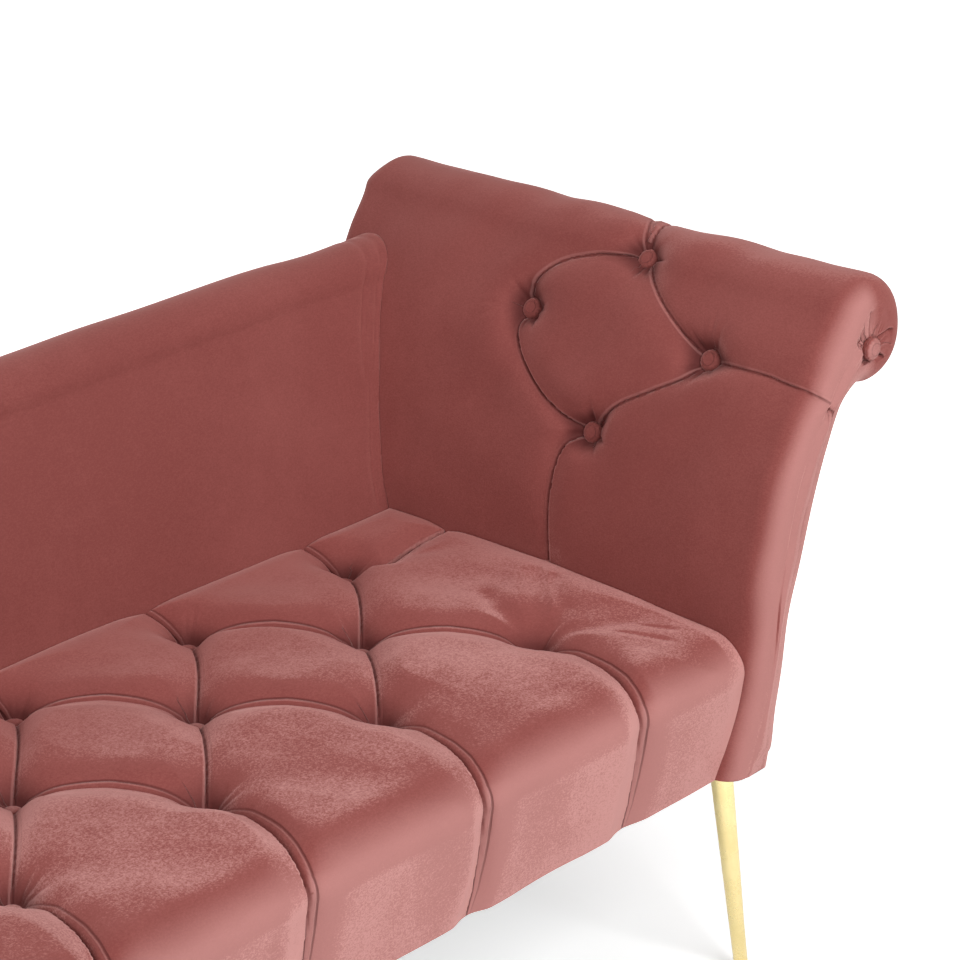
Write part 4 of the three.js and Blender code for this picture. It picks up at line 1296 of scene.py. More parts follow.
@dataclass
class BackCover:
    """Plain back cover with a rounded top, swept down to its nose, and folded where it meets the arm."""

    arm: ArmCover
    plan: Plan = PLAN
    inner_lean: float = 107.0
    rise_share: float = 0.81
    level_drop: float = 16.0
    nose_rise: float = 70.0
    level_length: float = 640.0
    length: float = 1190.0
    nose: float = 40.0
    crown: float = 8.0
    overlap: float = 20.0
    seam_rows: int = 40
    no_fold: Triple = (99.0, 0.0, 0.0)

    def inner_at(self, z: Grid) -> Grid:
        """Front face of the back at a height."""
        plan = self.plan
        return plan.back_y + self.inner_lean * np.maximum(0, z - plan.seat_height) / plan.arm_rise

    def top_at(self, x: Grid) -> Grid:
        """Height of the back along the couch."""
        plan = self.plan
        from_arm = plan.arm_x - x
        level = plan.seat_height + plan.arm_rise * self.rise_share
        level = level - self.level_drop * np.clip(from_arm / self.level_length, 0, 1)
        sweep = self.length - self.nose - self.level_length
        share = smooth((from_arm - self.level_length) / sweep)
        return level + (plan.seat_height + self.nose_rise - level) * share

    def outline(self, x: float) -> tuple[Grid, Grid]:
        """Points of the back's outline at a place along the couch, and their outward directions."""
        plan = self.plan
        top = self.top_at(x)
        roll = (plan.rear_at(top) - self.inner_at(top)) / 2
        turn_z = top - roll
        inner, rear = self.inner_at(turn_z), plan.rear_at(turn_z)
        low = np.linspace(plan.underside, plan.seat_height, 14)[:-1]
        face = np.linspace(plan.seat_height, turn_z, 64)[:-1]
        share = (face - plan.seat_height) / (turn_z - plan.seat_height)
        angle = np.linspace(0, math.pi, 49)
        front_y = np.concatenate(
            [np.full(len(low), plan.back_y), self.inner_at(face) - self.crown * np.sin(np.pi * share)]
        )
        turn_y = (inner + rear) / 2 - (rear - inner) / 2 * np.cos(angle)
        turn = turn_z + roll * np.sin(angle)
        rear_z = np.concatenate([low, face])[::-1]
        y = np.concatenate([front_y, turn_y, plan.rear_at(rear_z)])
        z = np.concatenate([low, face, turn, rear_z])
        step = np.gradient(np.stack([y, z], 1), axis=0)
        step[0], step[-1] = (0, 1), (0, -1)
        step /= np.linalg.norm(step, axis=1)[:, None]
        return np.stack([y, z], 1), np.stack([-step[:, 1], step[:, 0]], 1)

    def solid(self, grow: float = 0.0) -> Piece:
        """Makes the closed, uncut cover."""
        plan = self.plan
        foot = plan.arm_x - self.length
        angles = np.linspace(0, QUARTER, 17)[:-1]
        head_start = plan.arm_x - 60
        turn, level = foot + self.nose * (1 - np.cos(angles)), np.arange(foot + self.nose, head_start, 6.0)
        xs = np.concatenate([turn, level, np.full(self.seam_rows, head_start)])
        blend = np.concatenate([np.zeros(len(xs) - self.seam_rows), np.linspace(0, 1, self.seam_rows)])
        inset = np.concatenate([self.nose * (1 - np.sin(angles)), np.zeros(len(xs) - len(angles))])
        outline, out = np.array([self.outline(x) for x in xs]).swapaxes(0, 1)
        y, z = outline[..., 0], outline[..., 1]
        reach = self.arm.inner_face(z) + self.overlap
        x = xs[:, None] + (reach - xs[:, None]) * blend[:, None]
        steps = (np.diff(part, axis=1, prepend=part[:, :1]) for part in (y, z))
        run = np.cumsum(np.hypot(*steps), axis=1)
        sink, slide = self.arm_folds(x, y, z)
        swell = 1.6 * Ripples(31, 520, 110).at(x, run) * smooth((x - foot) / 60)
        x = x + slide
        away = grow - sink + swell - inset[:, None]
        y = y + out[..., 0] * away
        z = np.maximum(z + out[..., 1] * away, plan.underside)
        x[0] -= grow
        points = np.stack([x, y, z], -1)
        points[:, 0, 2] = points[:, -1, 2] = plan.underside
        shell = Shell()
        lay = np.stack([x, run, sink], -1)
        body = shell.grid(points, lay, np.full(points.shape, self.no_fold))
        shell.faces(body, np.zeros(x.shape))
        self.nose_cap(shell, body[0], points[0])
        shell.strip(body[:, 0], body[:, -1])
        shell.triangles.append(zip_ring(body[-1])[:, ::-1])
        return shell.build("back_room" if grow else "back_cover")

    def nose_cap(self, shell: Shell, edge: Grid, ring: Grid) -> None:
        """Closes the nose with a padded face between its two sides."""
        count = len(ring)
        half = count // 2
        index = np.minimum(np.arange(count), count - 1 - np.arange(count))
        middle = (ring[index] + ring[count - 1 - index]) / 2
        middle = middle[: half + 1]
        target = middle[index]
        shares = np.linspace(0, 1, 13)[1:]
        cap = ring[None] + (target - ring)[None] * shares[:, None, None]
        span = np.linalg.norm(target - ring, axis=1)
        bulge = 4.0 * (1 - (1 - shares[:, None]) ** 2) * np.minimum(1, span / 15)[None] + 0.15 * shares[:, None]
        cap[..., 0] -= bulge
        flat = np.stack([cap[..., 1] + 3000, cap[..., 2], np.zeros(cap.shape[:2])], -1)
        fold = np.full(cap.shape, self.no_fold)
        inner, low, spine = (
            shell.grid(cap[where], flat[where], fold[where])
            for where in (np.s_[:-1, 1:-1], np.s_[:-1, [0, -1]], np.s_[-1, : half + 1])
        )
        rows = np.concatenate([low[:, :1], inner, low[:, 1:]], axis=1)
        numbers = np.concatenate([edge[None], rows, spine[index][None]])[::-1]
        shell.faces(numbers, np.zeros(numbers.shape))
        chain = np.concatenate([numbers[:, 0][::-1], numbers[:, -1][1:]])[::-1]
        shell.fan(chain[0], chain[1:])

    def arm_folds(self, x: Grid, y: Grid, z: Grid) -> tuple[Grid, Grid]:
        """Three stacked folds beside the arm that run together into one as they go down."""
        away = self.arm.inner_face(z) - x
        level = (z - self.plan.seat_height) / (self.plan.arm_rise * self.rise_share)
        high = smooth((level - 0.35) / 0.4)
        sink, slide = np.zeros(x.shape), np.zeros(x.shape)
        for place, depth in ((8, 3.6), (20, 2.2), (32, 3.6)):
            line = 13 + (place - 13) * high + 2.0 * np.sin(level * 6 + place)
            gap = away - line
            strength = smooth((level + 0.02) / 0.12) * (1 if place == 20 else high)
            sharp = cusp(np.abs(gap), 9.0, 1.5) * np.where(gap > 0, 1.0, 0.55)
            sink = np.maximum(sink, depth * strength * sharp)
            slide += 0.6 * strength * cusp(np.abs(gap), 7.0, 1.0) * (gap > 0)
        front = np.clip((self.plan.rear_at(z) - y) / 40, 0, 1)
        return sink * smooth(front), slide * smooth(front)


def cad_names(prefix: str) -> list[str]:
    """Names of the CAD nodes that start with a prefix."""
    return sorted(o.name for o in bpy.data.objects if o.type == "MESH" and o.name.startswith(prefix))


@dataclass(frozen=True)
class ButtonSize:
    """Sizes of a covered button and its twine, in millimetres."""

    radius: float = 12.0
    height: float = 8.0
    twine: float = 1.2
    knot: float = 6.0


@dataclass
class CoveredButtons:
    """Velvet-covered buttons, each with its twine, in place of the CAD buttons."""

    material: Material
    size: ButtonSize = ButtonSize()
    seat_sink: float = 9.0
    arm_depth: float = 30.5
    arm_twine_end: float = 29.6
    rosette_lift: float = 4.0

    def dome(self) -> Piece:
        """Models the dome of one button at the origin, with its gathered edge."""
        size = self.size
        deselect()
        bpy.ops.mesh.primitive_cylinder_add(
            vertices=72, radius=size.radius * MM, depth=size.height * MM, location=(0, 0, size.height / 2 * MM)
        )
        dome = bpy.context.active_object
        for edge in dome.data.edges:
            ends = [dome.data.vertices[i].co.z for i in edge.vertices]
            edge.select = min(ends) > size.height * 0.9 * MM
        enter_edit()
        bpy.ops.mesh.select_mode(type="EDGE")
        bpy.ops.mesh.bevel(offset=5.6 * MM, segments=9, profile=0.55)
        leave_edit()
        edit_caps(dome, size.height * 0.9, FAR)
        for _ in range(5):
            bpy.ops.mesh.inset(thickness=1.05 * MM)
        leave_edit()
        places = np.empty(len(dome.data.vertices) * 3)
        dome.data.vertices.foreach_get("co", places)
        places = places.reshape(-1, 3) / MM
        out = np.hypot(places[:, 0], places[:, 1])
        turn = np.arctan2(places[:, 1], places[:, 0])
        height = 2.6 + (size.height - 2.6) * np.sqrt(np.clip(1 - (out / size.radius) ** 2.3, 0, 1))
        places[:, 2] = np.where(places[:, 2] > 0.1, height, places[:, 2])
        gather = 0.28 * np.sin(turn * 13 + np.sin(turn * 3)) * smooth((out - 7.5) / 4) * (places[:, 2] > 0.1)
        places[:, 0] += gather * np.cos(turn)
        places[:, 1] += gather * np.sin(turn)
        dome.data.vertices.foreach_set("co", (places * MM).ravel())
        dome.data.update()
        return dome

    def twine(self, drop: float, knot: bool) -> Piece:
        """Models the twine under a button, with the knot that holds it."""
        size = self.size
        deselect()
        bpy.ops.mesh.primitive_cylinder_add(
            vertices=20, radius=size.twine * MM, depth=drop * MM, location=(0, 0, -drop / 2 * MM)
        )
        parts = [bpy.context.active_object]
        if knot:
            under = (0, 0, -(drop + 1.0) * MM)
            bpy.ops.mesh.primitive_torus_add(
                major_segments=32,
                minor_segments=12,
                major_radius=(size.knot - 1.6) * MM,
                minor_radius=1.0 * MM,
                location=under,
            )
            parts.append(bpy.context.active_object)
            bpy.ops.mesh.primitive_uv_sphere_add(segments=28, ring_count=14, radius=3.9 * MM, location=under)
            parts.append(bpy.context.active_object)
            for vertex in parts[-1].data.vertices:
                vertex.co.z *= 0.26
        return join_pieces(parts)

    def place(self, node: str, drop: float, centre: Vector, direction: Vector, knot: bool = True) -> None:
        """Puts a button in place of a CAD button.

        Args:
            node: Name of the CAD node.
            drop: Length of the twine in millimetres.
            centre: Middle of the button's underside in metres.
            direction: Direction that the dome faces.
            knot: Whether the twine ends in a knot.
        """
        piece = join_pieces([self.dome(), self.twine(drop, knot)])
        turn = Vector((0, 0, 1)).rotation_difference(direction).to_matrix().to_4x4()
        piece.data.transform(Matrix.Translation(centre) @ turn)
        piece.name = f"{node}_covered"
        dress(piece, self.material, 50, node, "button_velvet")

    def build(self, arm: ArmCover) -> None:
        """Places the seat's, the arm's and the rosette's buttons."""
        size = self.size
        for node in cad_names("seat_button_"):
            low, high = (Vector(corner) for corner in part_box(node))
            base = high.z - size.height * MM
            centre = Vector(((low.x + high.x) / 2, (low.y + high.y) / 2, base))
            sunk = Vector((0, 0, self.seat_sink * MM))
            self.place(node, (base - low.z) / MM - 2.0 - self.seat_sink, centre - sunk, Vector((0, 0, 1)))
        for number, (run, along) in enumerate(arm.places, 1):
            (x, z), (out_x, out_z) = arm.path.place(run), arm.path.normal(run)
            y = arm.depth_at(along, z)
            centre = Vector((x - out_x * self.arm_depth, y, z - out_z * self.arm_depth)) * MM
            self.place(f"arm_button_{number}", self.arm_twine_end - self.arm_depth, centre, Vector((out_x, 0, out_z)))
        x, z = arm.rosette
        low, high = (Vector(corner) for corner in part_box("rosette_button"))
        centre = Vector((x * MM, low.y + (size.height - self.rosette_lift) * MM, z * MM))
        drop = (high.y - centre.y) / MM
        self.place("rosette_button", drop, centre, Vector((0, -1, 0)), knot=False)


@dataclass
class Legs:
    """Slim tapered metal legs, with their glides."""

    brass: Material
    plastic: Material
    top_radius: float = 12.0
    foot_radius: float = 8.0
    top: float = 271.2
    foot: float = 4.3
    stud_radius: float = 4.0
    stud_top: float = 327.5
    stud_steps: int = 22
    splay: float = 0.09

    def leg(self) -> Piece:
        """Models one upright leg: a tapered tube with a rolled foot and a threaded stud."""
        deselect()
        length = self.top - self.foot
        bpy.ops.mesh.primitive_cone_add(
            vertices=72,
            radius1=self.foot_radius * MM,
            radius2=self.top_radius * MM,
            depth=length * MM,
            location=(0, 0, (self.foot + length / 2) * MM),
        )
        leg = bpy.context.active_object
        settle()
        edit_caps(leg, -FAR, 100.0)
        bpy.ops.mesh.select_mode(type="FACE")
        bpy.ops.mesh.inset(thickness=1.5 * MM)
        draw_out(24)
        leave_edit()
        edit_caps(leg, self.top - 1, FAR)
        bpy.ops.mesh.inset(thickness=(self.top_radius - self.stud_radius) * MM)
        for _ in range(self.stud_steps):
            draw_out((self.stud_top - self.top) / self.stud_steps)
        leave_edit()
        for vertex in leg.data.vertices:
            height = vertex.co.z / MM
            if height > self.top + 3:
                turn = math.atan2(vertex.co.y, vertex.co.x)
                wave = 0.5 * math.sin(turn + height * math.tau / 5.1)
                scale = 1 - 0.08 * (0.5 + wave)
                vertex.co.x *= scale
                vertex.co.y *= scale
        ease_rims(leg, 0.45, 50)
        return leg

    def glide(self) -> Piece:
        """Models one glide: a moulded foot with a ribbed plug."""
        deselect()
        radius, height = self.foot_radius * MM, 4 * MM
        bpy.ops.mesh.primitive_cylinder_add(vertices=64, radius=radius, depth=height, location=(0, 0, 2 * MM))
        glide = bpy.context.active_object
        settle()
        edit_caps(glide, 3, FAR)
        bpy.ops.mesh.select_mode(type="FACE")
        bpy.ops.mesh.inset(thickness=1.9 * MM)
        for step in range(4):
            draw_out(2.3)
            if step < 3:
                bpy.ops.transform.resize(value=(0.96, 0.96, 1) if step % 2 else (1 / 0.98, 1 / 0.98, 1))
        leave_edit()
        ease_rims(glide, 0.7, 60)
        return glide

    def build(self) -> None:
        """Copies the leg and the glide to each corner, splayed outward."""
        for master, kind, material, slot in (
            (self.leg(), "leg", self.brass, "leg_metal"),
            (self.glide(), "leg_glide", self.plastic, "glide"),
        ):
            for end, out_x in (("foot", -1), ("head", 1)):
                for side, out_y in (("front", -1), ("rear", 1)):
                    node = f"{kind}_{end}_{side}"
                    nut_low, nut_high = (Vector(corner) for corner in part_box(f"leg_nut_{end}_{side}"))
                    centre = (nut_low + nut_high) / 2
                    piece = master.copy()
                    piece.data = master.data.copy()
                    bpy.context.scene.collection.objects.link(piece)
                    piece.name = f"{node}_turned"
                    for vertex in piece.data.vertices:
                        reach = self.splay * max(0.0, self.top * MM - vertex.co.z)
                        vertex.co.x += centre.x + out_x * reach
                        vertex.co.y += centre.y + out_y * reach
                    dress(piece, material, 40, node, slot)
            drop_objects(master)


class Nodes:
    """Short ways to add nodes to one shader tree, fed by sockets, numbers or colours."""

    def __init__(self, tree: Tree) -> None:
        """Keeps the tree."""
        self.tree = tree

    def add(self, kind: str, **settings: object) -> bpy.types.Node:
        """Adds a node and sets its properties."""
        made = self.tree.nodes.new(kind)
        for key, value in settings.items():
            setattr(made, key, value)
        return made

    def feed(self, made: bpy.types.Node, values: dict[str | int, Value]) -> bpy.types.Node:
        """Links or sets a node's inputs, by name or number, and returns the node."""
        for key, value in values.items():
            socket = made.inputs[key]
            if isinstance(value, Socket):
                self.tree.links.new(value, socket)
            else:
                socket.default_value = (*value, 1) if socket.type == "RGBA" else value
        return made

    def math(self, operation: str, *values: Value, clamp: bool = False) -> Socket:
        """Adds a maths node and returns its output."""
        made = self.add("ShaderNodeMath", operation=operation, use_clamp=clamp)
        return self.feed(made, dict(enumerate(values))).outputs[0]

    def times(self, first: Value, second: Value) -> Socket:
        """Multiplies two values."""
        return self.math("MULTIPLY", first, second)

    def spread(self, value: Value, *limits: float) -> Socket:
        """Maps a value smoothly from one range to another and returns the result."""
        made = self.add("ShaderNodeMapRange", interpolation_type="SMOOTHSTEP")
        return self.feed(made, dict(enumerate((value, *limits)))).outputs["Result"]

    def near(self, value: Value, low: float, high: float) -> Socket:
        """Falls from 1 to 0 as the size of a value grows from low to high."""
        return self.spread(self.math("ABSOLUTE", value), low, high, 1.0, 0.0)

    def noise(self, place: Socket, scale: float, detail: float, rough: float = 0.5) -> Socket:
        """Adds a noise texture at a place and returns its value."""
        values = {"Vector": place, "Scale": scale, "Detail": detail, "Roughness": rough}
        return self.feed(self.add("ShaderNodeTexNoise"), values).outputs["Fac"]

    def mix(self, share: Socket, first: Value, second: Value) -> Socket:
        """Mixes two colours by a share and returns the result."""
        made = self.add("ShaderNodeMix", data_type="RGBA")
        return self.feed(made, {"Factor": share, 6: first, 7: second}).outputs[2]

    def bump(self, height: Socket, strength: float, distance: float, under: Socket | None = None) -> Socket:
        """Adds a bump, over another one where it is given, and returns its normal."""
        values = {"Height": height, "Strength": strength, "Distance": distance}
        if under is not None:
            values["Normal"] = under
        return self.feed(self.add("ShaderNodeBump"), values).outputs["Normal"]

    def split(self, vector: Socket) -> Sequence[Socket]:
        """Splits a vector and returns its three parts."""
        return self.feed(self.add("ShaderNodeSeparateXYZ"), {0: vector}).outputs

    def attribute(self, name: str) -> Sequence[Socket]:
        """Reads a point attribute and returns its three parts."""
        return self.split(self.add("ShaderNodeAttribute", attribute_name=name).outputs["Vector"])

    def place(self, scale: Triple = (1, 1, 1)) -> Socket:
        """Object coordinates, stretched by a scale."""
        values = {"Vector": self.add("ShaderNodeTexCoord").outputs["Object"], "Scale": scale}
        return self.feed(self.add("ShaderNodeMapping"), values).outputs["Vector"]

    def seen(self) -> Socket:
        """1 for the rays that show a backdrop, 0 for those that light the couch."""
        rays = self.add("ShaderNodeLightPath").outputs
        direct = self.math("MAXIMUM", rays["Is Camera Ray"], rays["Is Glossy Ray"])
        return self.math("MAXIMUM", direct, rays["Is Transmission Ray"])


def blank_material(name: str) -> tuple[Material, Nodes, bpy.types.Node]:
    """Makes a material with a principled shader and returns it, its nodes and the shader."""
    material = bpy.data.materials.new(name)
    material.use_nodes = True
    return material, Nodes(material.node_tree), material.node_tree.nodes["Principled BSDF"]


def blank_group(name: str, *labels: str) -> tuple[Nodes, bpy.types.Node]:
    """Makes a node group that puts out named values and returns its nodes and its output node."""
    nodes = Nodes(bpy.data.node_groups.new(name, "ShaderNodeTree"))
    for label in labels:
        nodes.tree.interface.new_socket(label, in_out="OUTPUT", socket_type="NodeSocketFloat")
    return nodes, nodes.add("NodeGroupOutput")


@dataclass(frozen=True)
class VelvetLook:
    """Colours and surface of the velvet, with the colours of its painted shade and painted sheen."""

    # Painted shade: the colour towards which pits and crease gaps are darkened.
    deep: Triple = (0.075, 0.014, 0.013)
    # Painted shade: the colour where the velvet is seen head-on.
    shade: Triple = (0.205, 0.050, 0.044)
    body: Triple = (0.315, 0.097, 0.086)
    # Painted sheen colour: lighter where the velvet is seen at a glance, on the lit zone and front faces, and the
    # painted highlight on crease lips.
    brushed: Triple = (0.560, 0.270, 0.250)
    sheen_tint: Triple = (1.0, 0.60, 0.56)
    sheen: float = 0.3
    sheen_roughness: float = 0.30
    roughness: float = 0.8


def pile_group() -> Tree:
    """Group that gives the velvet's nap patches, its grain and the height of its pile, and the masks of its painted
    light: a lit zone, and painted light on front faces that turns to painted shade right of the scroll.
    """
    nodes, out = blank_group("velvet_pile", "Brushed", "Grain", "Height", "Zone", "Front")
    times, spread, noise = nodes.times, nodes.spread, nodes.noise
    place = nodes.place()
    x, y, z = nodes.split(place)
    facing = nodes.split(nodes.add("ShaderNodeNewGeometry").outputs["Normal"])[1]
    # Painted light: faces at the front that face forward are lit up, as if by a lamp in front.
    front = times(spread(y, -0.345, -0.20, 1.0, 0.0), spread(facing, -0.98, -0.30, 1.0, 0.0))
    nap = nodes.math("ADD", times(noise(place, 4.5, 5.0, 0.5), 0.7), times(noise(place, 30.0, 5.0, 0.7), 0.3))
    threads = noise(nodes.place((260, 260, 900)), 1.0, 2.0, 0.6)
    grain = nodes.math("ADD", times(noise(place, 520.0, 3.0, 0.75), 0.65), times(threads, 0.35))
    values = {
        # Painted light: a lit zone, high up and towards the front; on front faces the painted light turns to painted
        # shade right of the scroll's middle.
        "Zone": times(spread(z, 0.43, 0.50, 1.0, 0.3), spread(y, -0.20, 0.16, 1.0, 0.12)),
        "Front": times(front, spread(x, 0.795, 0.83, 1.0, -0.5)),
        "Brushed": spread(nap, 0.40, 0.64, 0.0, 1.0),
        "Grain": spread(grain, 0.32, 0.68, 0.0, 1.0),
        "Height": nodes.math("ADD", grain, times(noise(place, 180.0, 3.0, 0.6), 0.8)),
    }
    nodes.feed(out, values)
    return nodes.tree


def crease_group() -> Tree:
    """Group that paints shade in the gap and along the strip of a crease and in the pits, and a highlight on the lip,
    from a cover's attributes, with a bump height for the crease.
    """
    nodes, out = blank_group("velvet_crease", "Gap", "Lip", "Depth", "Height")
    math_, times, near = nodes.math, nodes.times, nodes.near
    side, reach, arch = nodes.attribute("fold")
    from_strip = math_("ADD", side, math_("MULTIPLY_ADD", arch, 6.5, 4.0))
    strip = times(near(from_strip, 0.2, 1.3), arch)
    rim = times(near(math_("SUBTRACT", from_strip, 1.6), 0.2, 1.5), arch)
    # Painted shade along the gap and the strip's edge, and a painted highlight on the lip and the strip's rim; both
    # also shape the bump.
    dark = math_("MAXIMUM", near(math_("ADD", side, 0.8), 0.4, 1.9), times(strip, 0.75))
    light = math_("MAXIMUM", near(math_("SUBTRACT", side, 1.8), 0.4, 2.2), times(rim, 0.7))
    values = {
        "Gap": times(dark, reach),
        "Lip": times(light, reach),
        # Painted shade in the pits, darker where the cover is drawn in further.
        "Depth": nodes.spread(nodes.attribute("lay")[2], 12.0, 40.0, 0.0, 1.0),
        "Height": times(math_("SUBTRACT", times(light, 0.8), dark), reach),
    }
    nodes.feed(out, values)
    return nodes.tree


def velvet(name: str, look: VelvetLook, pile: Tree, crease: Tree | None) -> Material:
    """Makes the velvet: nap patches and fine pile, with a painted sheen that lightens it at a glance, on a lit zone
    and on front faces, and painted shade in creases and pits.

    Args:
        name: Name of the material.
        look: Its colours and surface.
        pile: Group that gives its patches, its grain and the masks of its painted light.
        crease: Group that gives the painted shade and highlights of its creases and pits and the bump of its creases,
            for a piece that carries them.

    Returns:
        The material.
    """
    material, nodes, shader = blank_material(name)
    math_, times, mix = nodes.math, nodes.times, nodes.mix
    nap = nodes.add("ShaderNodeGroup", node_tree=pile).outputs
    # Painted sheen: the colour goes from the painted shade colour to the body colour and on to the painted sheen
    # colour as the velvet is seen more at a glance; nap patches and grain vary it at random.
    facing = nodes.feed(nodes.add("ShaderNodeLayerWeight"), {"Blend": 0.5}).outputs["Facing"]
    glance = times(nodes.spread(facing, 0.10, 0.72, 0.0, 1.0), 0.92)
    patch = math_("MULTIPLY_ADD", nap["Brushed"], 0.22, -0.11)
    speck = math_("MULTIPLY_ADD", nap["Grain"], 0.44, -0.22)
    lift = math_("ADD", glance, math_("ADD", patch, speck))
    colour = mix(math_("ADD", lift, 0.12, clamp=True), look.shade, look.body)
    # More painted sheen on the painted lit zone, and painted light on front faces.
    painted_sheen_share = times(nodes.spread(lift, 0.42, 1.10, 0.0, 1.0), nap["Zone"])
    colour = mix(math_("ADD", painted_sheen_share, times(nap["Front"], 0.55), clamp=True), colour, look.brushed)
    pleats = None
    if crease:
        lines = nodes.add("ShaderNodeGroup", node_tree=crease).outputs
        # Painted shade in pits and crease gaps, and a painted highlight on crease lips.
        for part, share, tint in (("Depth", 0.86, look.deep), ("Lip", 0.4, look.brushed), ("Gap", 0.92, look.deep)):
            colour = mix(times(lines[part], share), colour, tint)
        pleats = nodes.bump(lines["Height"], 1.0, 0.0011)
    values = {
        "Base Color": colour,
        "Normal": nodes.bump(nap["Height"], 0.45, 0.0006, pleats),
        "Roughness": look.roughness,
        "Specular IOR Level": 0.2,
        "Sheen Weight": look.sheen,
        "Sheen Roughness": look.sheen_roughness,
        "Sheen Tint": look.sheen_tint,
    }
    nodes.feed(shader, values)
    return material


@dataclass(frozen=True)
class PlainLook:
    """A plain finish with a little unevenness."""

    first: Triple
    second: Triple
    roughness: float
    metallic: float = 0.0
    scale: float = 60.0
    bump: float = 0.1
    stretch: Triple = (1, 1, 1)


def plain(name: str, look: PlainLook) -> Material:
    """Makes a plain uneven finish, such as metal, plastic, foam or timber."""
    material, nodes, shader = blank_material(name)
    place = nodes.place(look.stretch)
    value = nodes.noise(place, look.scale, 5.0, 0.6)
    values = {
        "Base Color": nodes.mix(nodes.spread(value, 0.3, 0.7, 0.0, 1.0), look.first, look.second),
        "Roughness": nodes.spread(value, 0.3, 0.7, look.roughness * 0.85, look.roughness * 1.15),
        "Metallic": look.metallic,
        "Normal": nodes.bump(nodes.noise(place, look.scale * 4, 3.0), look.bump, 0.0005),
    }
    nodes.feed(shader, values)
    return material


class Finish(Enum):
    """Finishes of the parts that are not velvet."""

    BRASS = PlainLook((0.70, 0.57, 0.27), (0.76, 0.63, 0.32), 0.27, 1.0, 30.0, 0.03)
    STEEL = PlainLook((0.42, 0.43, 0.44), (0.55, 0.56, 0.57), 0.38, 1.0, 120.0, 0.1)
    PLASTIC = PlainLook((0.012, 0.012, 0.012), (0.02, 0.02, 0.019), 0.5, 0.0, 200.0, 0.15)
    TIMBER = PlainLook((0.42, 0.25, 0.12), (0.62, 0.42, 0.22), 0.68, 0.0, 6.0, 0.4, (1, 14, 14))
    BOARD = PlainLook((0.55, 0.38, 0.2), (0.66, 0.48, 0.28), 0.72, 0.0, 8.0, 0.4, (1, 9, 9))
    FOAM = PlainLook((0.75, 0.66, 0.4), (0.84, 0.76, 0.52), 0.95, 0.0, 420.0, 0.9)
    LINING = PlainLook((0.010, 0.010, 0.011), (0.022, 0.021, 0.022), 0.95, 0.0, 700.0, 0.5)

    def make(self) -> Material:
        """Makes the material of this finish."""
        return plain(self.name.lower(), self.value)


@dataclass
class Frame:
    """The timber frame, its nuts and the seat's foam, which stay as the CAD drew them but for their finishes."""

    def build(self) -> None:
        """Gives each CAD part inside the couch its finish."""
        timber, board, steel = Finish.TIMBER.make(), Finish.BOARD.make(), Finish.STEEL.make()
        wooden = ("rail_", "brace_", "corner_post_", "back_rail", "back_post", "arm_rail")
        for material, prefixes in ((timber, wooden), (board, ("deck", "arm_panel_")), (steel, ("leg_nut_",))):
            for name in (name for prefix in prefixes for name in cad_names(prefix)):
                data = bpy.data.objects[name].data
                data.materials.clear()
                data.materials.append(material)
                LOG.info("kept %s", name)

    def foam(self, buttons: Sequence[Flat]) -> None:
        """Builds the seat's foam block with eased edges and the hollows of the twine."""
        low, high = (np.array(corner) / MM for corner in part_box("seat_foam"))
        block = block_room(low, high)
        edges = block.modifiers.new("edges", "BEVEL")
        edges.width, edges.segments = 6 * MM, 4
        apply_modifiers(block)
        bores = bore_rooms(buttons, low[2] - 5, high[2] + 5, 1.6)
        cut_away(block, [bores])
        drop_objects(bores)
        block.name = "seat_foam_block"
        dress(block, Finish.FOAM.make(), 0, "seat_foam", "foam")


def bore_rooms(places: Sequence[Flat], low: float, high: float, radius: float) -> Piece:
    """Upright bores at the buttons, as one object to cut with."""
    deselect()
    bores = []
    for x, y in places:
        bpy.ops.mesh.primitive_cylinder_add(
            vertices=16, radius=radius * MM, depth=(high - low) * MM, location=(x * MM, y * MM, (low + high) / 2 * MM)
        )
        bores.append(bpy.context.active_object)
    return join_pieces(bores[::-1])


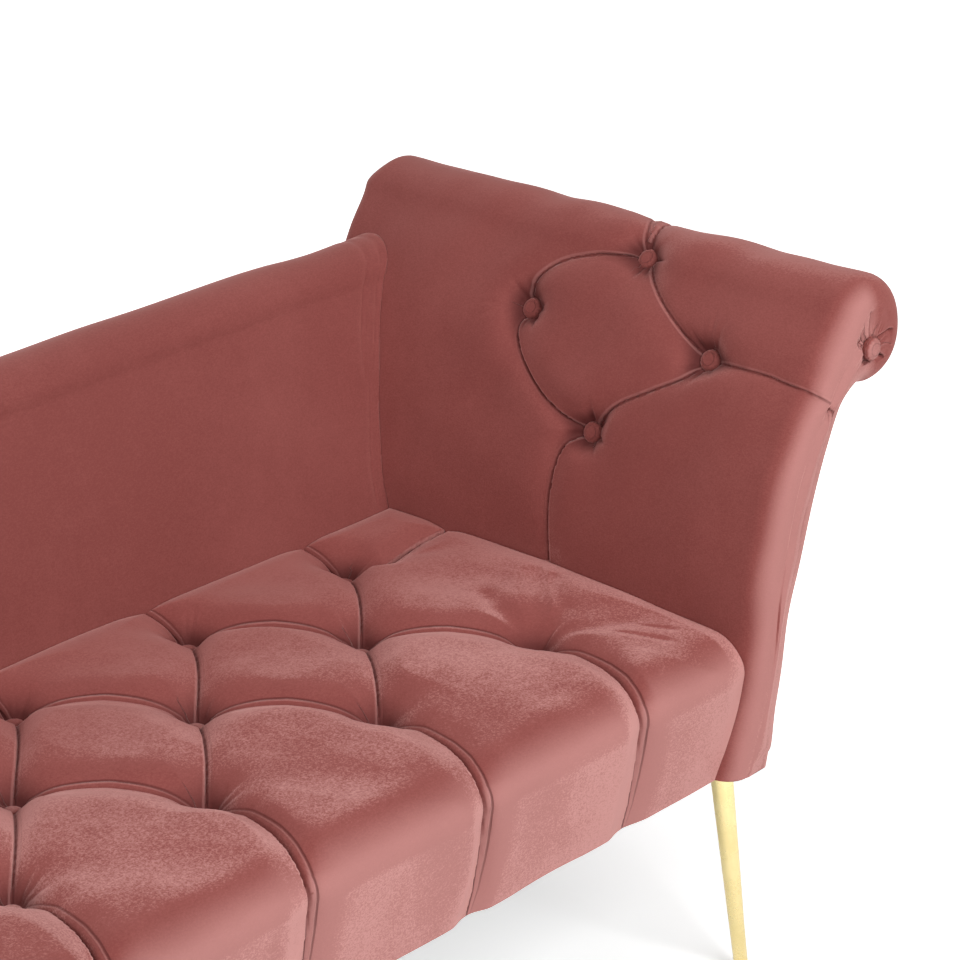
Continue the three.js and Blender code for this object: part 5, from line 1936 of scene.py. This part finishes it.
@dataclass
class Covers:
    """The three velvet covers, cut to one another and to the frame inside them."""

    seat: SeatCover
    arm: ArmCover
    back: BackCover
    plan: Plan = PLAN
    gap: float = 0.5
    back_pad: float = 44.0

    def base_room(self) -> Piece:
        """The room that the timber base takes up."""
        plan = self.plan
        low = (plan.foot_x + plan.core_inset_foot, plan.front_y + self.seat.setback + 22, plan.underside - 12)
        high = (plan.arm_x + plan.core_reach_head, plan.rear_y - plan.core_rear, plan.base_top - 0.3)
        return block_room([v - 0.3 for v in low], [v + 0.3 for v in high])

    def frame_rooms(self) -> list[Piece]:
        """Rooms of the boards inside the back."""
        rooms = []
        for name in [*cad_names("back_rail"), *cad_names("back_post")]:
            board = bpy.data.objects[name]
            room = board.copy()
            room.data = board.data.copy()
            room.parent = None
            bpy.context.scene.collection.objects.link(room)
            select_only(room)
            enter_edit()
            bpy.ops.mesh.select_all(action="SELECT")
            bpy.ops.mesh.remove_doubles(threshold=1e-6)
            bpy.ops.object.mode_set(mode="OBJECT")
            modifier = room.modifiers.new("swell", "DISPLACE")
            modifier.mid_level, modifier.strength = 0, 0.5 * MM
            apply_modifiers(room)
            rooms.append(room)
        return rooms

    def build(self, material: Material) -> None:
        """Builds and cuts the covers."""
        plan = self.plan
        base = self.base_room()
        arm_room, back_room = self.arm.solid(self.gap), self.back.solid(self.gap)
        behind = block_room(
            (plan.arm_x - self.back.length + self.back.nose, plan.back_y + self.back_pad, plan.underside - 12),
            (plan.head_x + 50, plan.rear_y + 40, plan.crown + 40),
        )
        foam_low, foam_high = (np.array(corner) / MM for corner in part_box("seat_foam"))
        foam = block_room(foam_low - 0.3, foam_high + 0.3)
        bores = bore_rooms(self.seat.places, foam_high[2] - 4, plan.crown, 1.5)
        seat = self.seat.solid()
        cut_away(seat, [arm_room, back_room, behind, base, foam, bores])
        finish_cover(seat, material, "seat_pad")
        back = self.back.solid()
        boards = self.frame_rooms()
        cut_away(back, [arm_room, base, *boards])
        finish_cover(back, material, "back_pad")
        front = plan.core_front
        hollow = self.arm.core(0.0, front, plan.platform_depth - plan.core_rear)
        cut_away(hollow, [base])
        arm = self.arm.solid()
        cut_away(arm, [hollow, base])
        finish_cover(arm, material, "arm_pad")
        drop_objects(base, arm_room, back_room, behind, foam, bores, hollow, *boards)


@dataclass
class DustCover:
    """Black lining stretched under the base, puckered along its edge and cut round the legs."""

    pitch: float = 55.0
    thickness: float = 0.9
    belly: float = 4.0
    pucker: float = 0.7
    step: float = 7.0
    leg_room: float = 17.0

    def build(self) -> None:
        """Builds the lining."""
        low, high = (np.array(corner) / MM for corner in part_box("dust_cover"))
        x, y = (np.linspace(low[k], high[k], 1 + round((high[k] - low[k]) / self.step)) for k in (0, 1))
        a, b = np.meshgrid(x, y, indexing="ij")
        rim_a, rim_b = (np.minimum(v - low[k], high[k] - v) for k, v in ((0, a), (1, b)))
        rim = np.minimum(rim_a, rim_b)
        along = np.where(rim_a < rim_b, b - low[1], a - low[0])
        drop = self.belly * smooth(rim / 170) + 0.5 * Ripples(41, 190, 60).at(a, b) * smooth(rim / 60)
        drop += self.pucker * (1 - np.cos(math.tau * along / self.pitch)) / 2 * cusp(rim, 34, 1.4)
        top = np.stack([a, b, high[2] - 0.1 - drop], -1)
        shell = Shell()
        plain_lay, plain_fold = np.zeros(top.shape), np.zeros(top.shape)
        upper = shell.grid(top, plain_lay, plain_fold)
        lower = shell.grid(top - (0, 0, self.thickness), plain_lay, plain_fold)
        flat = np.zeros(a.shape)
        shell.faces(upper, flat)
        shell.faces(lower[::-1], flat)
        rings = [np.concatenate([g[:-1, 0], g[-1, :-1], g[:0:-1, -1], g[0, :0:-1], g[:1, 0]]) for g in (upper, lower)]
        shell.strip(*rings)
        piece = shell.build("dust_cover_cloth")
        legs = [tuple((np.array(corner) / MM)[:2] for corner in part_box(name)) for name in cad_names("leg_nut_")]
        places = [tuple((first_corner + last_corner) / 2) for first_corner, last_corner in legs]
        room = bore_rooms(places, low[2] - 20, high[2] + 5, self.leg_room)
        cut_away(piece, [room])
        drop_objects(room)
        dress(piece, Finish.LINING.make(), 40, "dust_cover", "lining")


@dataclass
class Studio:
    """White studio with soft light, and the photograph's camera."""

    camera_place: Triple = (-1.597, -2.0062, 1.7344)
    heading: float = 47.45
    pitch: float = 22.23
    lens: float = 109.18

    def build(self) -> None:
        """Builds the floor, the light and the camera."""
        scene = bpy.context.scene
        scene.view_settings.view_transform = "Standard"
        self.floor()
        self.world()
        self.lamp("key", (0.2, -2.4, 2.0), 1.6, 64)
        self.lamp("side", (-3.2, -0.5, 1.8), 1.8, 62)
        self.lamp("top", (0.3, -0.5, 3.0), 1.8, 20)
        self.lamp("rear", (1.2, 3.4, 1.0), 2.4, 26)
        camera = bpy.data.cameras.new("photo_camera")
        camera.lens, camera.sensor_width, camera.clip_end = self.lens, 36, 60
        view = bpy.data.objects.new("photo_camera", camera)
        scene.collection.objects.link(view)
        heading, pitch = math.radians(self.heading), math.radians(self.pitch)
        aim = Vector((math.sin(heading) * math.cos(pitch), math.cos(heading) * math.cos(pitch), -math.sin(pitch)))
        view.location = self.camera_place
        view.rotation_euler = aim.to_track_quat("-Z", "Y").to_euler()
        scene.camera = view

    def lamp(self, name: str, place: Triple, size: float, power: float) -> None:
        """Adds an area lamp that faces the middle of the couch."""
        data = bpy.data.lights.new(name, "AREA")
        data.energy, data.size = power, size
        lamp = bpy.data.objects.new(name, data)
        bpy.context.scene.collection.objects.link(lamp)
        lamp.location = place
        lamp.rotation_euler = (Vector((0.2, 0, 0.45)) - Vector(place)).to_track_quat("-Z", "Y").to_euler()

    def floor(self) -> None:
        """Adds the pale floor, which keeps the couch's shadow and shows white to the camera."""
        deselect()
        bpy.ops.mesh.primitive_plane_add(size=40, location=(0, 0, 0))
        floor = bpy.context.active_object
        floor.name = floor.data.name = "studio_floor"
        material, nodes, shader = blank_material("studio_floor")
        place = nodes.place()
        away = nodes.feed(nodes.add("ShaderNodeVectorMath", operation="LENGTH"), {0: place}).outputs["Value"]
        values = {
            "Base Color": nodes.mix(nodes.noise(place, 3.0, 2.0), (0.88, 0.88, 0.88), (0.92, 0.92, 0.92)),
            "Roughness": 0.9,
            "Specular IOR Level": 0.1,
            "Emission Strength": nodes.times(nodes.spread(away, 0.6, 2.0, 0.5, 1.0), nodes.seen()),
            "Emission Color": (1, 1, 1),
        }
        nodes.feed(shader, values)
        floor.data.materials.append(material)

    def world(self) -> None:
        """Lights the room softly and shows white to the camera."""
        world = bpy.data.worlds.new("studio")
        bpy.context.scene.world = world
        world.use_nodes = True
        nodes = Nodes(world.node_tree)
        strength = nodes.math("MULTIPLY_ADD", nodes.seen(), 0.92, 0.08)
        nodes.feed(nodes.tree.nodes["Background"], {"Strength": strength, "Color": (1, 1, 1)})


def main() -> None:
    """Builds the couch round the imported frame."""
    logging.basicConfig(level=logging.INFO, stream=sys.stdout, format="%(name)s %(message)s")
    look = VelvetLook()
    pile = pile_group()
    cover_velvet = velvet("velvet", look, pile, crease_group())
    button_velvet = velvet("button_velvet", look, pile, None)
    seat, arm = SeatCover(), ArmCover()
    back = BackCover(arm)
    Covers(seat, arm, back).build(cover_velvet)
    frame_parts = Frame()
    frame_parts.build()
    frame_parts.foam(seat.places)
    CoveredButtons(button_velvet).build(arm)
    Legs(Finish.BRASS.make(), Finish.PLASTIC.make()).build()
    DustCover().build()
    Studio().build()


if __name__ == "__main__":
    main()
